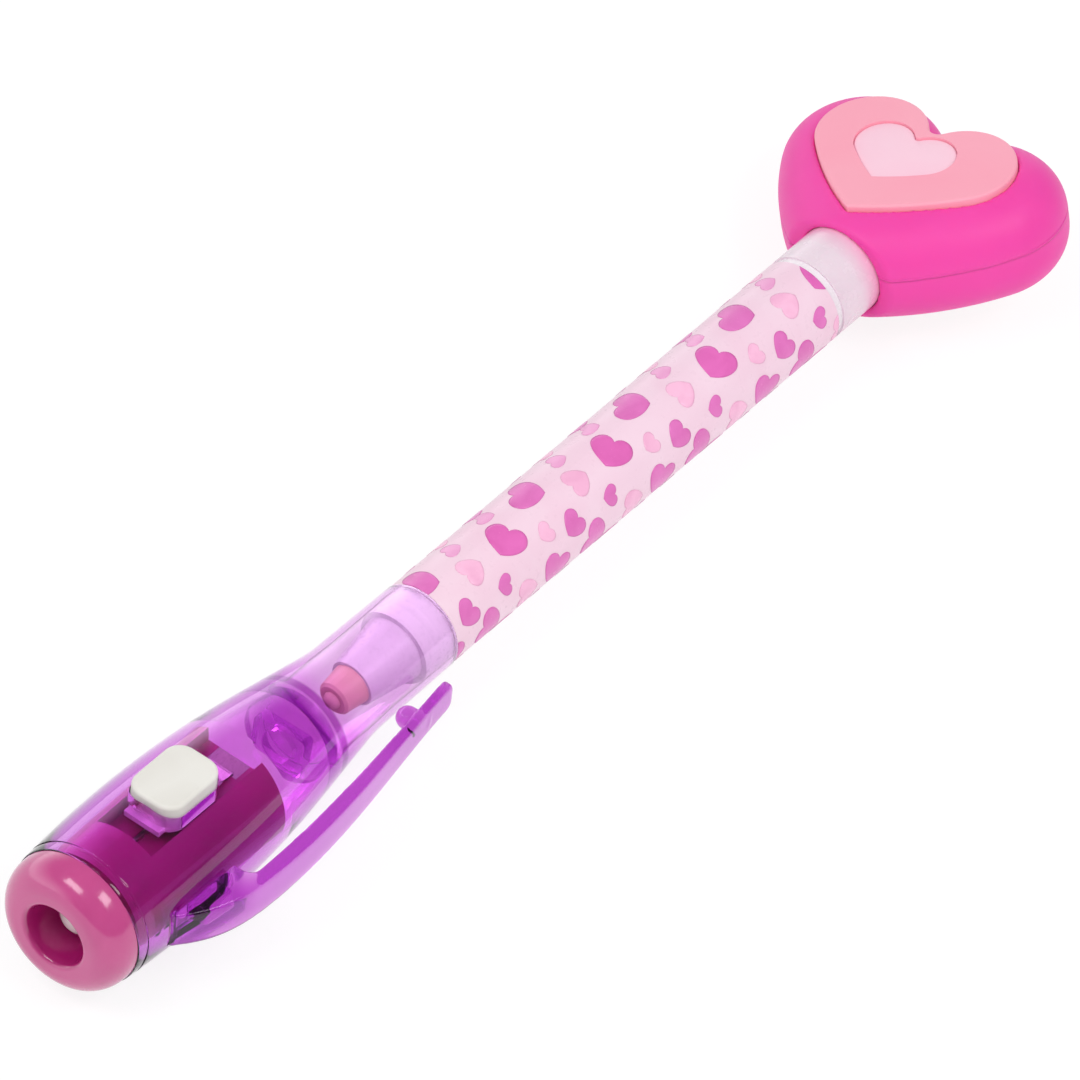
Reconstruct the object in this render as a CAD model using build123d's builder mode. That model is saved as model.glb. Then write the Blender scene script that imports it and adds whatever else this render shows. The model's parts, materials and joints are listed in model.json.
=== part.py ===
from build123d import *
import os
from math import asin, atan2, cos, degrees, hypot, pi, radians, sin, sqrt

# A capped invisible-ink pen with a small lamp in its cap and a soft heart on its end.
# Millimetres. The pen's axis is X and the heart is on the +X end. Z is up, on the side of the cap's button.
# The origin is on the axis, where the barrel's front end meets the cap's mouth.

# Room between pieces
press_gap = 0.02           # round a piece that is pressed or moulded into another
slide_gap = 0.12           # round a piece that slides
seat_gap = 0.05            # between faces that rest on one another

# Barrel and its printed sleeve
barrel_radius = 5.0        # over the sleeve
barrel_length = 64.1
barrel_wall = 0.85
sleeve_thickness = 0.2
sleeve_margin = 0.9        # bare strip of barrel at the heart's end

# Nib end
neck_radius = 4.3
neck_length = 4.6
neck_bead = 0.06           # height of the ridge that holds the cap
neck_bead_width = 1.0
section_spigot_length = 9.0
cone_base_radius = 3.7
cone_tip_radius = 2.6
cone_length = 7.0
holder_radius = 2.25
holder_length = 3.3
holder_tip_radius = 1.9
holder_chamfer = 0.3
holder_spigot_radius = 1.8
holder_spigot_length = 3.0
nib_radius = 1.0
nib_showing = 0.9
nib_in_reservoir = 5.0
reservoir_room = 0.3       # round the reservoir

# Plug at the heart's end
plug_spigot_length = 8.0
plug_core_radius = 3.0
plug_core_depth = 6.0
collar_length = 5.7
collar_seat = 1.2          # part of the collar that sits in the heart
peg_radius = 3.0
peg_length = 13.0
barb_height = 0.3
barb_length = 2.0
barb_count = 3

# Heart, measured along the axis from its socket face
heart_turn = 13.5          # degrees round the axis, from the side of the cap's button
heart_half = 6.25          # half its thickness, without the raised hearts
heart_round = 5.5
heart_tip = -3.8           # where its sides would meet, ahead of the socket face
heart_tip_round = 6.2
heart_lobe_radius = 8.75
heart_lobe_along = 14.25
heart_lobe_aside = 7.8
heart_side = 120           # degrees round each lobe, where the bowed side begins
heart_notch_round = 1.2
socket_edge = 0.5

# Raised heart on each face, and the smaller one let into it
raised_tip = 2.2
raised_lobe_radius = 5.95
raised_lobe_along = 13.75
raised_lobe_aside = 5.8
raised_side = 134
raised_notch_round = 1.2
raised_sunk = 1.3
raised_proud = 0.6
raised_edge = 0.3
inlay_tip = 7.5
inlay_lobe_radius = 3.2
inlay_lobe_along = 13.15
inlay_lobe_aside = 2.75
inlay_side = 140
inlay_shift = 0.9          # its middle, across from the raised heart's middle
inlay_notch_round = 0.4
inlay_thickness = 0.6
inlay_below = 0.25

# Cap shell, measured from its lamp end
cap_length = 56.0
crest_radius = 8.5
crest_at = 11.5
crown_arc = 138.0
taper_at = 33.0
sleeve_at = 43.0
sleeve_radius = 5.26
sleeve_blend = 25.0
mouth_radius = 5.12
mouth_edge = 0.2
cap_room = 0.12            # round the neck
lamp_bore = 6.85
lamp_bore_depth = 26.0
nib_room = 3.7             # between the nib's tip and the septum
septum_thickness = 2.5
septum_wall = 1.3          # shell wall beside the septum
bore_corner = 0.6
boss_width = 6.5
boss_height = 5.2
boss_thickness = 1.4
boss_recess_radius = 2.0
boss_recess_depth = 1.0

# Lamp bezel
bezel_step = 0.12          # how far it stays inside the shell's edge
bezel_length = 3.9
bezel_straight = 0.5
bezel_rim_radius = 5.0
bezel_rim_roll = 0.6
bezel_hole = 3.6
bezel_recess_radius = 3.1
bezel_web = 0.9
bezel_skirt = 1.3
skirt_radius = 5.6

# Lamp
led_radius = 2.5
led_length = 8.6
led_flange_radius = 2.9
led_flange = 1.0
led_behind_rim = 2.6
lead_width = 0.4
lead_bend = 0.25           # at the middle of the lead
lead_spacing = 2.54
lead_room = 1.0            # space for the leads behind the lamp

# Battery carrier and cells
carrier_length = 23.7
cell_radius = 3.95
cell_height = 3.6
cell_count = 3
cell_cap_radius = 3.1
cell_cap_height = 0.3
cell_edge = 0.3
cell_drop = 0.8            # the cells lie this far below the pen's axis
pocket_width = 6.8
pocket_start = 6.9         # from the shell's lamp end
pocket_floor = 4.1

# Contact spring and plate behind the cells
spring_wire = 0.5
spring_radius = 2.4
spring_turns = 4
plate_thickness = 0.4
plate_radius = 4.6
tab_width = 4.0
tab_length = 2.4
tab_thickness = 0.2

# Button and switch leaf
button_at = 14.8
button_length = 8.9
button_width = 6.4
button_corner = 2.1
button_proud = 0.9
button_edge = 0.45
button_bottom = 5.65
button_room = 0.15
button_travel = 0.8
lip_reach = 0.55
lip_width = 4.4
lip_height = 0.6
leaf_thickness = 0.25
leaf_width = 3.0
leaf_bead = 0.2
leaf_pivot_back = 2.4      # pivot, ahead of the carrier's rear end
leaf_past_centre = 0.8     # leaf's tip, ahead of the button's middle

# Pocket clip, measured from the shell's lamp end and from the axis
clip_width = 4.6
clip_tip_width = 3.6
clip_edge = 0.35
clip_tip_corner = 1.0
clip_root_start = 4.9
clip_root_end = 15.0
clip_shoulder = (10.1, 11.4)
clip_crest = (17.5, 12.35)
clip_middle = (36.6, 10.7)
clip_tip = (50.8, 8.6)
clip_root_thickness = 1.7
clip_tip_thickness = 1.2
clip_root_wall = 0.8
clip_core_start = 8.6
clip_core_roof = 9.9
clip_crotch = 1.2
heel_radius = 0.5
heel_in = 0.2              # heel's centre below the shell's surface
tenon_depth = 0.75
tenon_margin = 1.2
nub_radius = 1.3
nub_at = 45.0
nub_room = 0.65

# Places along the axis
barrel_outer = barrel_radius - sleeve_thickness
barrel_bore = barrel_outer - barrel_wall
cone_tip_x = -(neck_length + cone_length)
holder_tip_x = cone_tip_x - holder_length
nib_tip_x = holder_tip_x - nib_showing
nib_bore = nib_radius + press_gap
socket_x = barrel_length + collar_length
cap_x = -cap_length
septum_back_x = nib_tip_x - nib_room
septum_x = septum_back_x - septum_thickness
pen_bore = neck_radius + cap_room
lamp_slide = lamp_bore - slide_gap
skirt_x = cap_x + bezel_skirt
carrier_back_x = skirt_x + carrier_length
bezel_x = cap_x - bezel_length
led_tip_x = bezel_x + led_behind_rim
led_back_x = led_tip_x + led_length
flange_x = led_back_x - led_flange
cells_x = led_back_x + lead_room
cells_back_x = cells_x + cell_count * cell_height
plate_x = carrier_back_x - plate_thickness
button_x = cap_x + button_at

os.makedirs("parts", exist_ok=True)


def save(piece, name):
    """Labels a finished piece and writes it to its own file."""
    piece.label = name
    export_step(piece, f"parts/{name}.step")


def half_section(*points):
    """Closed outline of straight runs beside the axis, ready to be turned round X."""
    with BuildSketch(Plane.XZ) as section:
        with BuildLine():
            Polyline(*points, close=True)
        make_face()
    return section.sketch


def crown(along):
    """Radius of the shell's crowned front part."""
    return crest_radius - crown_arc + sqrt(crown_arc**2 - (along - crest_at) ** 2)


def crown_slope(along):
    """Slope of the shell's crowned front part."""
    return (crest_at - along) / sqrt(crown_arc**2 - (along - crest_at) ** 2)


def cap_outline(extra):
    """Draws the shell's outer line, moved out by extra, from the lamp end to the mouth."""
    front = (cap_x, crown(0) + extra)
    crest = (cap_x + crest_at, crest_radius + extra)
    taper = (cap_x + taper_at, crown(taper_at) + extra)
    sleeve = (cap_x + sleeve_at, sleeve_radius + extra)
    mouth = (0, mouth_radius + extra)
    Spline(front, crest, taper, tangents=[(1, crown_slope(0)), (1, crown_slope(taper_at))])
    Polyline(taper, sleeve, mouth)
    return front, mouth


def shell_radius(along):
    """Outer radius of the shell at a distance from its lamp end."""
    if along <= taper_at:
        return crown(along)
    if along <= sleeve_at:
        share = (along - taper_at) / (sleeve_at - taper_at)
        return crown(taper_at) + share * (sleeve_radius - crown(taper_at))
    share = (along - sleeve_at) / (cap_length - sleeve_at)
    return sleeve_radius + share * (mouth_radius - sleeve_radius)


def heart_line(radius, along, aside, tip, side):
    """Outline of a heart: two round lobes, and bowed sides that run from them to the tip."""
    notch = (along + sqrt(radius**2 - aside**2), 0)
    notch_angle = -asin(aside / radius)
    side_angle = radians(side)
    top_angle = (notch_angle + side_angle) / 2
    top = (along + radius * cos(top_angle), aside + radius * sin(top_angle))
    touch = (along + radius * cos(side_angle), aside + radius * sin(side_angle))
    with BuildLine() as outline:
        lobe = ThreePointArc(notch, top, touch)
        TangentArc(touch, (tip, 0), tangent=lobe % 1)
        mirror(about=Plane.XZ)
    return outline.line


def on_axis(corners):
    """The corners of a heart's outline at its tip and at its notch."""
    middle = corners.filter_by(lambda corner: abs(corner.Y) < press_gap).sort_by(Axis.X)
    return middle[0], middle[-1]


# Barrel
with BuildPart() as barrel_tube:
    outline = half_section(
        (0, barrel_bore),
        (barrel_length, barrel_bore),
        (barrel_length, barrel_outer),
        (0, barrel_outer),
    )
    revolve(outline, axis=Axis.X)
save(barrel_tube.part, "barrel_tube")

with BuildPart() as printed_sleeve:
    sleeve_end = barrel_length - sleeve_margin
    outline = half_section(
        (0, barrel_outer),
        (sleeve_end, barrel_outer),
        (sleeve_end, barrel_radius),
        (0, barrel_radius),
    )
    revolve(outline, axis=Axis.X)
save(printed_sleeve.part, "printed_sleeve")

# Nib section: a plug in the barrel, a neck for the cap and a cone
spigot_radius = barrel_bore - press_gap
holder_bore = holder_spigot_radius + press_gap
bead_middle = -neck_length / 2
with BuildPart() as nib_section:
    with BuildSketch(Plane.XZ):
        with BuildLine():
            Polyline(
                (bead_middle + neck_bead_width / 2, neck_radius),
                (0, neck_radius),
                (0, spigot_radius),
                (section_spigot_length, spigot_radius),
                (section_spigot_length, nib_bore),
                (cone_tip_x + holder_spigot_length, nib_bore),
                (cone_tip_x + holder_spigot_length, holder_bore),
                (cone_tip_x, holder_bore),
                (cone_tip_x, cone_tip_radius),
                (-neck_length, cone_base_radius),
                (-neck_length, neck_radius),
                (bead_middle - neck_bead_width / 2, neck_radius),
            )
            ThreePointArc(
                (bead_middle - neck_bead_width / 2, neck_radius),
                (bead_middle, neck_radius + neck_bead),
                (bead_middle + neck_bead_width / 2, neck_radius),
            )
        make_face()
    revolve(axis=Axis.X)
save(nib_section.part, "nib_section")

# Pink ring that grips the nib
with BuildPart() as nib_holder:
    outline = half_section(
        (holder_tip_x, nib_bore),
        (holder_tip_x, holder_tip_radius - holder_chamfer),
        (holder_tip_x + holder_chamfer, holder_tip_radius),
        (cone_tip_x, holder_radius),
        (cone_tip_x, holder_spigot_radius),
        (cone_tip_x + holder_spigot_length - seat_gap, holder_spigot_radius),
        (cone_tip_x + holder_spigot_length - seat_gap, nib_bore),
    )
    revolve(outline, axis=Axis.X)
save(nib_holder.part, "nib_holder")

# Felt nib: a rod with a round end
nib_back_x = section_spigot_length + nib_in_reservoir
with BuildPart() as felt_nib:
    with BuildSketch(Plane.XZ):
        with BuildLine():
            RadiusArc((nib_tip_x, 0), (nib_tip_x + nib_radius, nib_radius), nib_radius)
            Polyline(
                (nib_tip_x + nib_radius, nib_radius),
                (nib_back_x, nib_radius),
                (nib_back_x, 0),
                (nib_tip_x, 0),
            )
        make_face()
    revolve(axis=Axis.X)
save(felt_nib.part, "felt_nib")

# Ink reservoir, held between the nib section and the end plug
reservoir_radius = barrel_bore - reservoir_room
reservoir_x = section_spigot_length + seat_gap
reservoir_back_x = barrel_length - plug_spigot_length - seat_gap
with BuildPart() as ink_reservoir:
    outline = half_section(
        (reservoir_x, nib_bore),
        (reservoir_x, reservoir_radius),
        (reservoir_back_x, reservoir_radius),
        (reservoir_back_x, 0),
        (nib_back_x + seat_gap, 0),
        (nib_back_x + seat_gap, nib_bore),
    )
    revolve(outline, axis=Axis.X)
save(ink_reservoir.part, "ink_reservoir")

# End plug: spigot, collar and a barbed peg for the heart
plug_x = barrel_length - plug_spigot_length
collar_back_x = socket_x + collar_seat
peg_back_x = collar_back_x + peg_length
barb_pitch = peg_length / (barb_count + 1)
barb_points = []
for number in range(barb_count):
    barb_x = collar_back_x + barb_pitch * (number + 1)
    barb_points += [
        (barb_x - barb_length / 2, peg_radius),
        (barb_x - barb_length / 2, peg_radius + barb_height),
        (barb_x + barb_length / 2, peg_radius),
    ]
with BuildPart() as end_plug:
    outline = half_section(
        (plug_x, plug_core_radius),
        (plug_x, barrel_bore - press_gap),
        (barrel_length, barrel_bore - press_gap),
        (barrel_length, barrel_radius),
        (collar_back_x, barrel_radius),
        (collar_back_x, peg_radius),
        *barb_points,
        (peg_back_x, peg_radius),
        (peg_back_x, 0),
        (plug_x + plug_core_depth, 0),
        (plug_x + plug_core_depth, plug_core_radius),
    )
    revolve(outline, axis=Axis.X)
save(end_plug.part, "end_plug")

# Heart: a soft body that swells between two raised hearts
socket_bore = barrel_radius + press_gap
peg_bore = peg_radius + barb_height + press_gap
heart_up = (0, sin(radians(heart_turn)), cos(radians(heart_turn)))
heart_plane = Plane(origin=(socket_x, 0, 0), x_dir=(1, 0, 0), z_dir=heart_up)
heart_back_plane = Plane(origin=(socket_x, 0, 0), x_dir=(1, 0, 0), z_dir=-heart_plane.z_dir)
heart_axis = Axis((socket_x, 0, 0), heart_up)
raised_shape = (raised_lobe_radius, raised_lobe_along, raised_lobe_aside, raised_tip, raised_side)
inlay_shape = (inlay_lobe_radius, inlay_lobe_along, inlay_lobe_aside, inlay_tip, inlay_side)
with BuildPart() as heart_body:
    with BuildSketch(heart_plane) as outline:
        make_face(heart_line(heart_lobe_radius, heart_lobe_along, heart_lobe_aside, heart_tip, heart_side))
        fillet(on_axis(outline.vertices())[0], heart_tip_round)
        fillet(on_axis(outline.vertices())[1], heart_notch_round)
    extrude(amount=heart_half, both=True)
    rims = heart_body.faces().filter_by(heart_axis).edges()
    fillet(rims, heart_round)
    split(bisect_by=Plane.YZ.offset(socket_x), keep=Keep.TOP)
    mouth_rim = heart_body.faces().sort_by(Axis.X)[0].edges()
    fillet(mouth_rim, socket_edge)
    outline = half_section(
        (socket_x, 0),
        (socket_x, socket_bore),
        (collar_back_x + press_gap, socket_bore),
        (collar_back_x + press_gap, peg_bore),
        (peg_back_x + press_gap, peg_bore),
        (peg_back_x + press_gap, 0),
    )
    revolve(outline, axis=Axis.X, mode=Mode.SUBTRACT)
    for face_plane in (heart_plane, heart_back_plane):
        with BuildSketch(face_plane.offset(heart_half - raised_sunk)) as recess:
            make_face(heart_line(*raised_shape))
            fillet(on_axis(recess.vertices())[1], raised_notch_round)
            offset(amount=press_gap)
        extrude(amount=raised_sunk + raised_proud, mode=Mode.SUBTRACT)
save(heart_body.part, "heart_body")

inlay_recess = inlay_thickness + inlay_below
for face_plane, face_name in ((heart_plane, "front"), (heart_back_plane, "back")):
    base = face_plane.offset(heart_half - raised_sunk)
    floor = face_plane.offset(heart_half + raised_proud - inlay_recess)
    floor.origin += floor.y_dir * inlay_shift
    with BuildPart() as raised_heart:
        with BuildSketch(base) as outline:
            make_face(heart_line(*raised_shape))
            fillet(on_axis(outline.vertices())[1], raised_notch_round)
        extrude(amount=raised_sunk + raised_proud)
        top = raised_heart.faces().sort_by(Axis(base.origin, base.z_dir))[-1]
        fillet(top.edges(), raised_edge)
        with BuildSketch(floor) as recess:
            make_face(heart_line(*inlay_shape))
            fillet(on_axis(recess.vertices())[1], inlay_notch_round)
            offset(amount=press_gap)
        extrude(amount=inlay_recess, mode=Mode.SUBTRACT)
    save(raised_heart.part, f"{face_name}_raised_heart")

    with BuildPart() as inlay_heart:
        with BuildSketch(floor) as outline:
            make_face(heart_line(*inlay_shape))
            fillet(on_axis(outline.vertices())[1], inlay_notch_round)
        extrude(amount=inlay_thickness)
    save(inlay_heart.part, f"{face_name}_inlay_heart")

# Cap shell: a lamp chamber and a nib chamber with a septum between them
chamber_end = shell_radius(septum_x - cap_x) - septum_wall
slot_start = clip_root_start + tenon_margin
slot_end = clip_root_end - tenon_margin
heel_y = -(shell_radius(clip_root_start + heel_radius) - heel_in)
heel_x = cap_x + clip_root_start + heel_radius
tenon_y = -(shell_radius(clip_root_start) - tenon_depth)
tenon_width = clip_width - tenon_margin
with BuildPart() as cap_shell:
    with BuildSketch(Plane.XZ) as wall:
        with BuildLine():
            front, mouth = cap_outline(0)
            Polyline(
                mouth,
                (0, pen_bore),
                (septum_back_x, pen_bore),
                (septum_back_x, 0),
                (septum_x, 0),
                (septum_x, chamber_end),
                (cap_x + lamp_bore_depth, lamp_bore),
                (cap_x, lamp_bore),
                front,
            )
        make_face()
        sleeve_corner = wall.vertices().sort_by_distance((cap_x + sleeve_at, sleeve_radius))[0]
        fillet(sleeve_corner, sleeve_blend)
        bore_end = wall.vertices().sort_by_distance((septum_back_x, pen_bore))[0]
        fillet(bore_end, bore_corner)
    revolve(axis=Axis.X)
    with BuildSketch(Plane.YZ.offset(septum_x)):
        RectangleRounded(boss_width, boss_height, bore_corner)
    extrude(amount=-boss_thickness)
    with BuildSketch(Plane.YZ.offset(septum_x - boss_thickness)):
        Circle(boss_recess_radius)
    extrude(amount=boss_recess_depth, mode=Mode.SUBTRACT)
    with BuildSketch(Plane.XY):
        with Locations((button_x, 0)):
            RectangleRounded(
                button_length + 2 * button_room,
                button_width + 2 * button_room,
                button_corner + button_room,
            )
    extrude(amount=crest_radius + button_proud, mode=Mode.SUBTRACT)
    with BuildSketch(Plane.XZ.offset(-tenon_y - slide_gap)):
        with Locations((cap_x + (slot_start + slot_end) / 2, 0)):
            Rectangle(slot_end - slot_start + 2 * slide_gap, tenon_width + 2 * slide_gap)
    extrude(amount=crest_radius, mode=Mode.SUBTRACT)
    with BuildSketch(Plane.XY):
        with Locations((heel_x, heel_y)):
            Circle(heel_radius + seat_gap)
    extrude(amount=clip_width / 2 + seat_gap, both=True, mode=Mode.SUBTRACT)
    rim = cap_shell.edges().filter_by(GeomType.CIRCLE).sort_by(Axis.X)[-2:]
    fillet(rim, mouth_edge)
save(cap_shell.part, "cap_shell")


def on_clip(place, lift=0):
    """Point of the clip's side view, from its distance along the shell and from the axis."""
    return (cap_x + place[0], -(place[1] + lift))


# Pocket clip: a hollow root on a tenon, and a sprung arm with a nub
clip_toe = (clip_root_start, shell_radius(clip_root_start))
crotch_top = (clip_root_end, clip_crest[1] - clip_root_thickness)
root_base = (clip_root_end, shell_radius(clip_root_end) - tenon_depth)
toe_base = (clip_root_start, shell_radius(clip_root_start) - tenon_depth)
middle_thickness = (clip_root_thickness + clip_tip_thickness) / 2
core_end = slot_end - clip_root_wall
with BuildPart() as pocket_clip:
    with BuildSketch(Plane.XY) as side_view:
        with BuildLine():
            Spline(
                on_clip(clip_toe),
                on_clip(clip_shoulder),
                on_clip(clip_crest),
                on_clip(clip_middle),
                on_clip(clip_tip),
            )
            Line(on_clip(clip_tip), on_clip(clip_tip, -clip_tip_thickness))
            Spline(
                on_clip(clip_tip, -clip_tip_thickness),
                on_clip(clip_middle, -middle_thickness),
                on_clip(clip_crest, -clip_root_thickness),
                on_clip(crotch_top),
            )
            Polyline(on_clip(crotch_top), on_clip(root_base), on_clip(toe_base), on_clip(clip_toe))
        make_face()
        crotch = side_view.vertices().sort_by_distance(on_clip(crotch_top))[0]
        fillet(crotch, clip_crotch)
    extrude(amount=clip_width / 2, both=True)
    with BuildSketch(Plane.XZ) as plan:
        with BuildLine():
            Polyline(
                (cap_x, -clip_width / 2),
                (cap_x + clip_crest[0], -clip_width / 2),
                (cap_x + clip_tip[0], -clip_tip_width / 2),
                (cap_x + clip_tip[0], clip_tip_width / 2),
                (cap_x + clip_crest[0], clip_width / 2),
                (cap_x, clip_width / 2),
                close=True,
            )
        make_face()
        fillet(plan.vertices().sort_by(Axis.X)[-2:], clip_tip_corner)
    extrude(amount=clip_crest[1] + clip_width, mode=Mode.INTERSECT)
    outer_face = pocket_clip.faces().sort_by(Axis.Y)[0]
    fillet(outer_face.edges(), clip_edge)
    with BuildSketch(Plane.XZ):
        with BuildLine():
            near, far = cap_outline(seat_gap)
            Polyline(far, (0, 0), (cap_x, 0), near)
        make_face()
    revolve(axis=Axis.X, mode=Mode.SUBTRACT)
    with BuildSketch(Plane.XZ.offset(-tenon_y)):
        with Locations((cap_x + (slot_start + slot_end) / 2, 0)):
            Rectangle(slot_end - slot_start, tenon_width)
    extrude(amount=tenon_depth + clip_root_wall)
    with BuildSketch(Plane.XY):
        with Locations((heel_x, heel_y)):
            Circle(heel_radius)
    extrude(amount=clip_width / 2, both=True)
    with BuildSketch(Plane.XZ.offset(-tenon_y)):
        with Locations((cap_x + (clip_core_start + core_end) / 2, 0)):
            Rectangle(core_end - clip_core_start, tenon_width - 2 * clip_root_wall)
    extrude(amount=clip_core_roof + tenon_y, mode=Mode.SUBTRACT)
    nub_tip = shell_radius(nub_at) + nub_room
    nub_root = clip_middle[1] - middle_thickness
    with BuildSketch(Plane.XZ.offset(nub_tip + nub_radius)):
        with Locations((cap_x + nub_at, 0)):
            Circle(nub_radius)
    extrude(amount=nub_root - nub_tip - nub_radius)
    with Locations((cap_x + nub_at, -(nub_tip + nub_radius), 0)):
        Sphere(nub_radius)
save(pocket_clip.part, "pocket_clip")

# Lamp bezel: a domed ring with the lamp in its middle
bezel_radius = crown(0) - bezel_step
led_bore = led_radius + press_gap
bezel_floor_x = skirt_x - bezel_web
with BuildPart() as lamp_bezel:
    with BuildSketch(Plane.XZ):
        with BuildLine():
            Line((cap_x, bezel_radius), (cap_x - bezel_straight, bezel_radius))
            EllipticalCenterArc(
                (cap_x - bezel_straight, bezel_rim_radius),
                bezel_length - bezel_straight,
                bezel_radius - bezel_rim_radius,
                start_angle=90,
                arc_size=90,
            )
            Line((bezel_x, bezel_rim_radius), (bezel_x, bezel_hole + bezel_rim_roll))
            CenterArc((bezel_x + bezel_rim_roll, bezel_hole + bezel_rim_roll), bezel_rim_roll, 180, 90)
            Polyline(
                (bezel_x + bezel_rim_roll, bezel_hole),
                (bezel_floor_x, bezel_recess_radius),
                (bezel_floor_x, led_bore),
                (skirt_x, led_bore),
                (skirt_x, skirt_radius),
                (cap_x, skirt_radius),
                (cap_x, bezel_radius),
            )
        make_face()
    revolve(axis=Axis.X)
save(lamp_bezel.part, "lamp_bezel")

# Ultraviolet lamp
with BuildPart() as uv_lamp:
    with BuildSketch(Plane.XZ):
        with BuildLine():
            RadiusArc((led_tip_x, 0), (led_tip_x + led_radius, led_radius), led_radius)
            Polyline(
                (led_tip_x + led_radius, led_radius),
                (flange_x, led_radius),
                (flange_x, led_flange_radius),
                (led_back_x, led_flange_radius),
                (led_back_x, 0),
                (led_tip_x, 0),
            )
        make_face()
    revolve(axis=Axis.X)
save(uv_lamp.part, "uv_lamp")

# Battery carrier: lamp seat, cell bore and a pocket for the switch
flange_bore = led_flange_radius + press_gap
lead_height = lead_spacing / 2
lead_bend_x = led_back_x + lead_room / 2
cell_axis = Axis((0, 0, -cell_drop), (1, 0, 0))
with BuildPart() as battery_carrier:
    outline = half_section(
        (skirt_x, led_bore),
        (skirt_x, lamp_slide),
        (carrier_back_x, lamp_slide),
        (carrier_back_x, led_bore),
    )
    revolve(outline, axis=Axis.X)
    with BuildSketch(Plane.YZ.offset(flange_x)):
        Circle(flange_bore)
    extrude(amount=carrier_back_x - flange_x, mode=Mode.SUBTRACT)
    with BuildSketch(Plane.YZ.offset(cells_x)):
        with Locations((0, -cell_drop)):
            Circle(cell_radius + press_gap)
    extrude(amount=carrier_back_x - cells_x, mode=Mode.SUBTRACT)
    with BuildSketch(Plane.YZ.offset(plate_x)):
        with Locations((0, -cell_drop)):
            Circle(plate_radius + press_gap)
    extrude(amount=plate_thickness, mode=Mode.SUBTRACT)
    with BuildSketch(Plane.XY):
        with Locations((plate_x, 0)):
            Rectangle(plate_thickness, tab_width + 2 * press_gap, align=(Align.MIN, Align.CENTER))
    extrude(amount=pocket_floor, mode=Mode.SUBTRACT)
    with BuildSketch(Plane.XY.offset(pocket_floor)):
        with Locations((cap_x + pocket_start, 0)):
            Rectangle(carrier_length + pocket_start, pocket_width, align=(Align.MIN, Align.CENTER))
    extrude(amount=lamp_bore - pocket_floor, mode=Mode.SUBTRACT)
    with BuildSketch(Plane.XY):
        with Locations((lead_bend_x, 0)):
            Rectangle(lead_room - 2 * slide_gap, lead_width + 2 * slide_gap)
    extrude(amount=pocket_floor, mode=Mode.SUBTRACT)
    tab_end_x = carrier_back_x - tab_length
    with BuildSketch(Plane.XY.offset(pocket_floor - tab_thickness)):
        with Locations((tab_end_x - press_gap, 0)):
            Rectangle(tab_length + press_gap, tab_width + 2 * press_gap, align=(Align.MIN, Align.CENTER))
    extrude(amount=tab_thickness, mode=Mode.SUBTRACT)
save(battery_carrier.part, "battery_carrier")

# Three button cells
for number in range(cell_count):
    start_x = cells_x + number * cell_height
    can_end_x = start_x + cell_height - cell_cap_height
    with BuildPart() as cell:
        with BuildSketch(Plane.XZ):
            with BuildLine():
                Polyline(
                    (start_x, -cell_drop),
                    (start_x, cell_radius - cell_edge - cell_drop),
                    (start_x + cell_edge, cell_radius - cell_drop),
                    (can_end_x, cell_radius - cell_drop),
                    (can_end_x, cell_cap_radius - cell_drop),
                    (start_x + cell_height, cell_cap_radius - cell_drop),
                    (start_x + cell_height, -cell_drop),
                    close=True,
                )
            make_face()
        revolve(axis=cell_axis)
    save(cell.part, f"button_cell_{number + 1}")

# The lamp's leads: one lies on the first cell, the other runs back under the switch leaf
contact_x = cells_x - lead_width / 2 - press_gap
lead_run_z = pocket_floor + lead_width / 2 + press_gap
lead_routes = {
    "anode_lead": [
        (led_back_x, 0, -lead_height),
        (contact_x, 0, -lead_height),
        (contact_x, 0, lead_width - flange_bore),
    ],
    "cathode_lead": [
        (led_back_x, 0, lead_height),
        (lead_bend_x, 0, lead_height),
        (lead_bend_x, 0, lead_run_z),
        (button_x, 0, lead_run_z),
    ],
}
for lead_name, corners in lead_routes.items():
    with BuildPart() as lead:
        with BuildLine() as route:
            FilletPolyline(*corners, radius=lead_bend)
        with BuildSketch(Plane(origin=corners[0], x_dir=(0, 1, 0), z_dir=(1, 0, 0))):
            Rectangle(lead_width, lead_width)
        sweep(path=route.line)
    save(lead.part, lead_name)

# Contact spring: a round wire wound between the last cell and the plate
spring_start_x = cells_back_x + spring_wire / 2 + press_gap
spring_end_x = plate_x - spring_wire / 2 - press_gap
spring_pitch = (spring_end_x - spring_start_x) / spring_turns


def coil_point(turn):
    """Point of the spring's centre line after a number of turns."""
    angle = 2 * pi * turn
    return Vector(
        spring_start_x + spring_pitch * turn,
        spring_radius * cos(angle),
        spring_radius * sin(angle) - cell_drop,
    )


def coil_heading(turn):
    """Direction of the spring's centre line after a number of turns."""
    angle = 2 * pi * turn
    around = 2 * pi * spring_radius
    return Vector(spring_pitch, -around * sin(angle), around * cos(angle)).normalized()


def coil_biarc(start, end):
    """Draws two arcs that meet smoothly, from one place on the coil to another."""
    first, last = coil_point(start), coil_point(end)
    leave, arrive = coil_heading(start), coil_heading(end)
    chord = last - first
    both = leave + arrive
    bend = 2 * (1 - leave.dot(arrive))
    arm = (sqrt(chord.dot(both) ** 2 + 2 * bend * chord.dot(chord)) - chord.dot(both)) / bend
    early = first + leave * arm
    late = last - arrive * arm
    join = (early + late) * 0.5
    TangentArc(first, join, tangent=leave)
    TangentArc(join, last, tangent=late - early)


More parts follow.
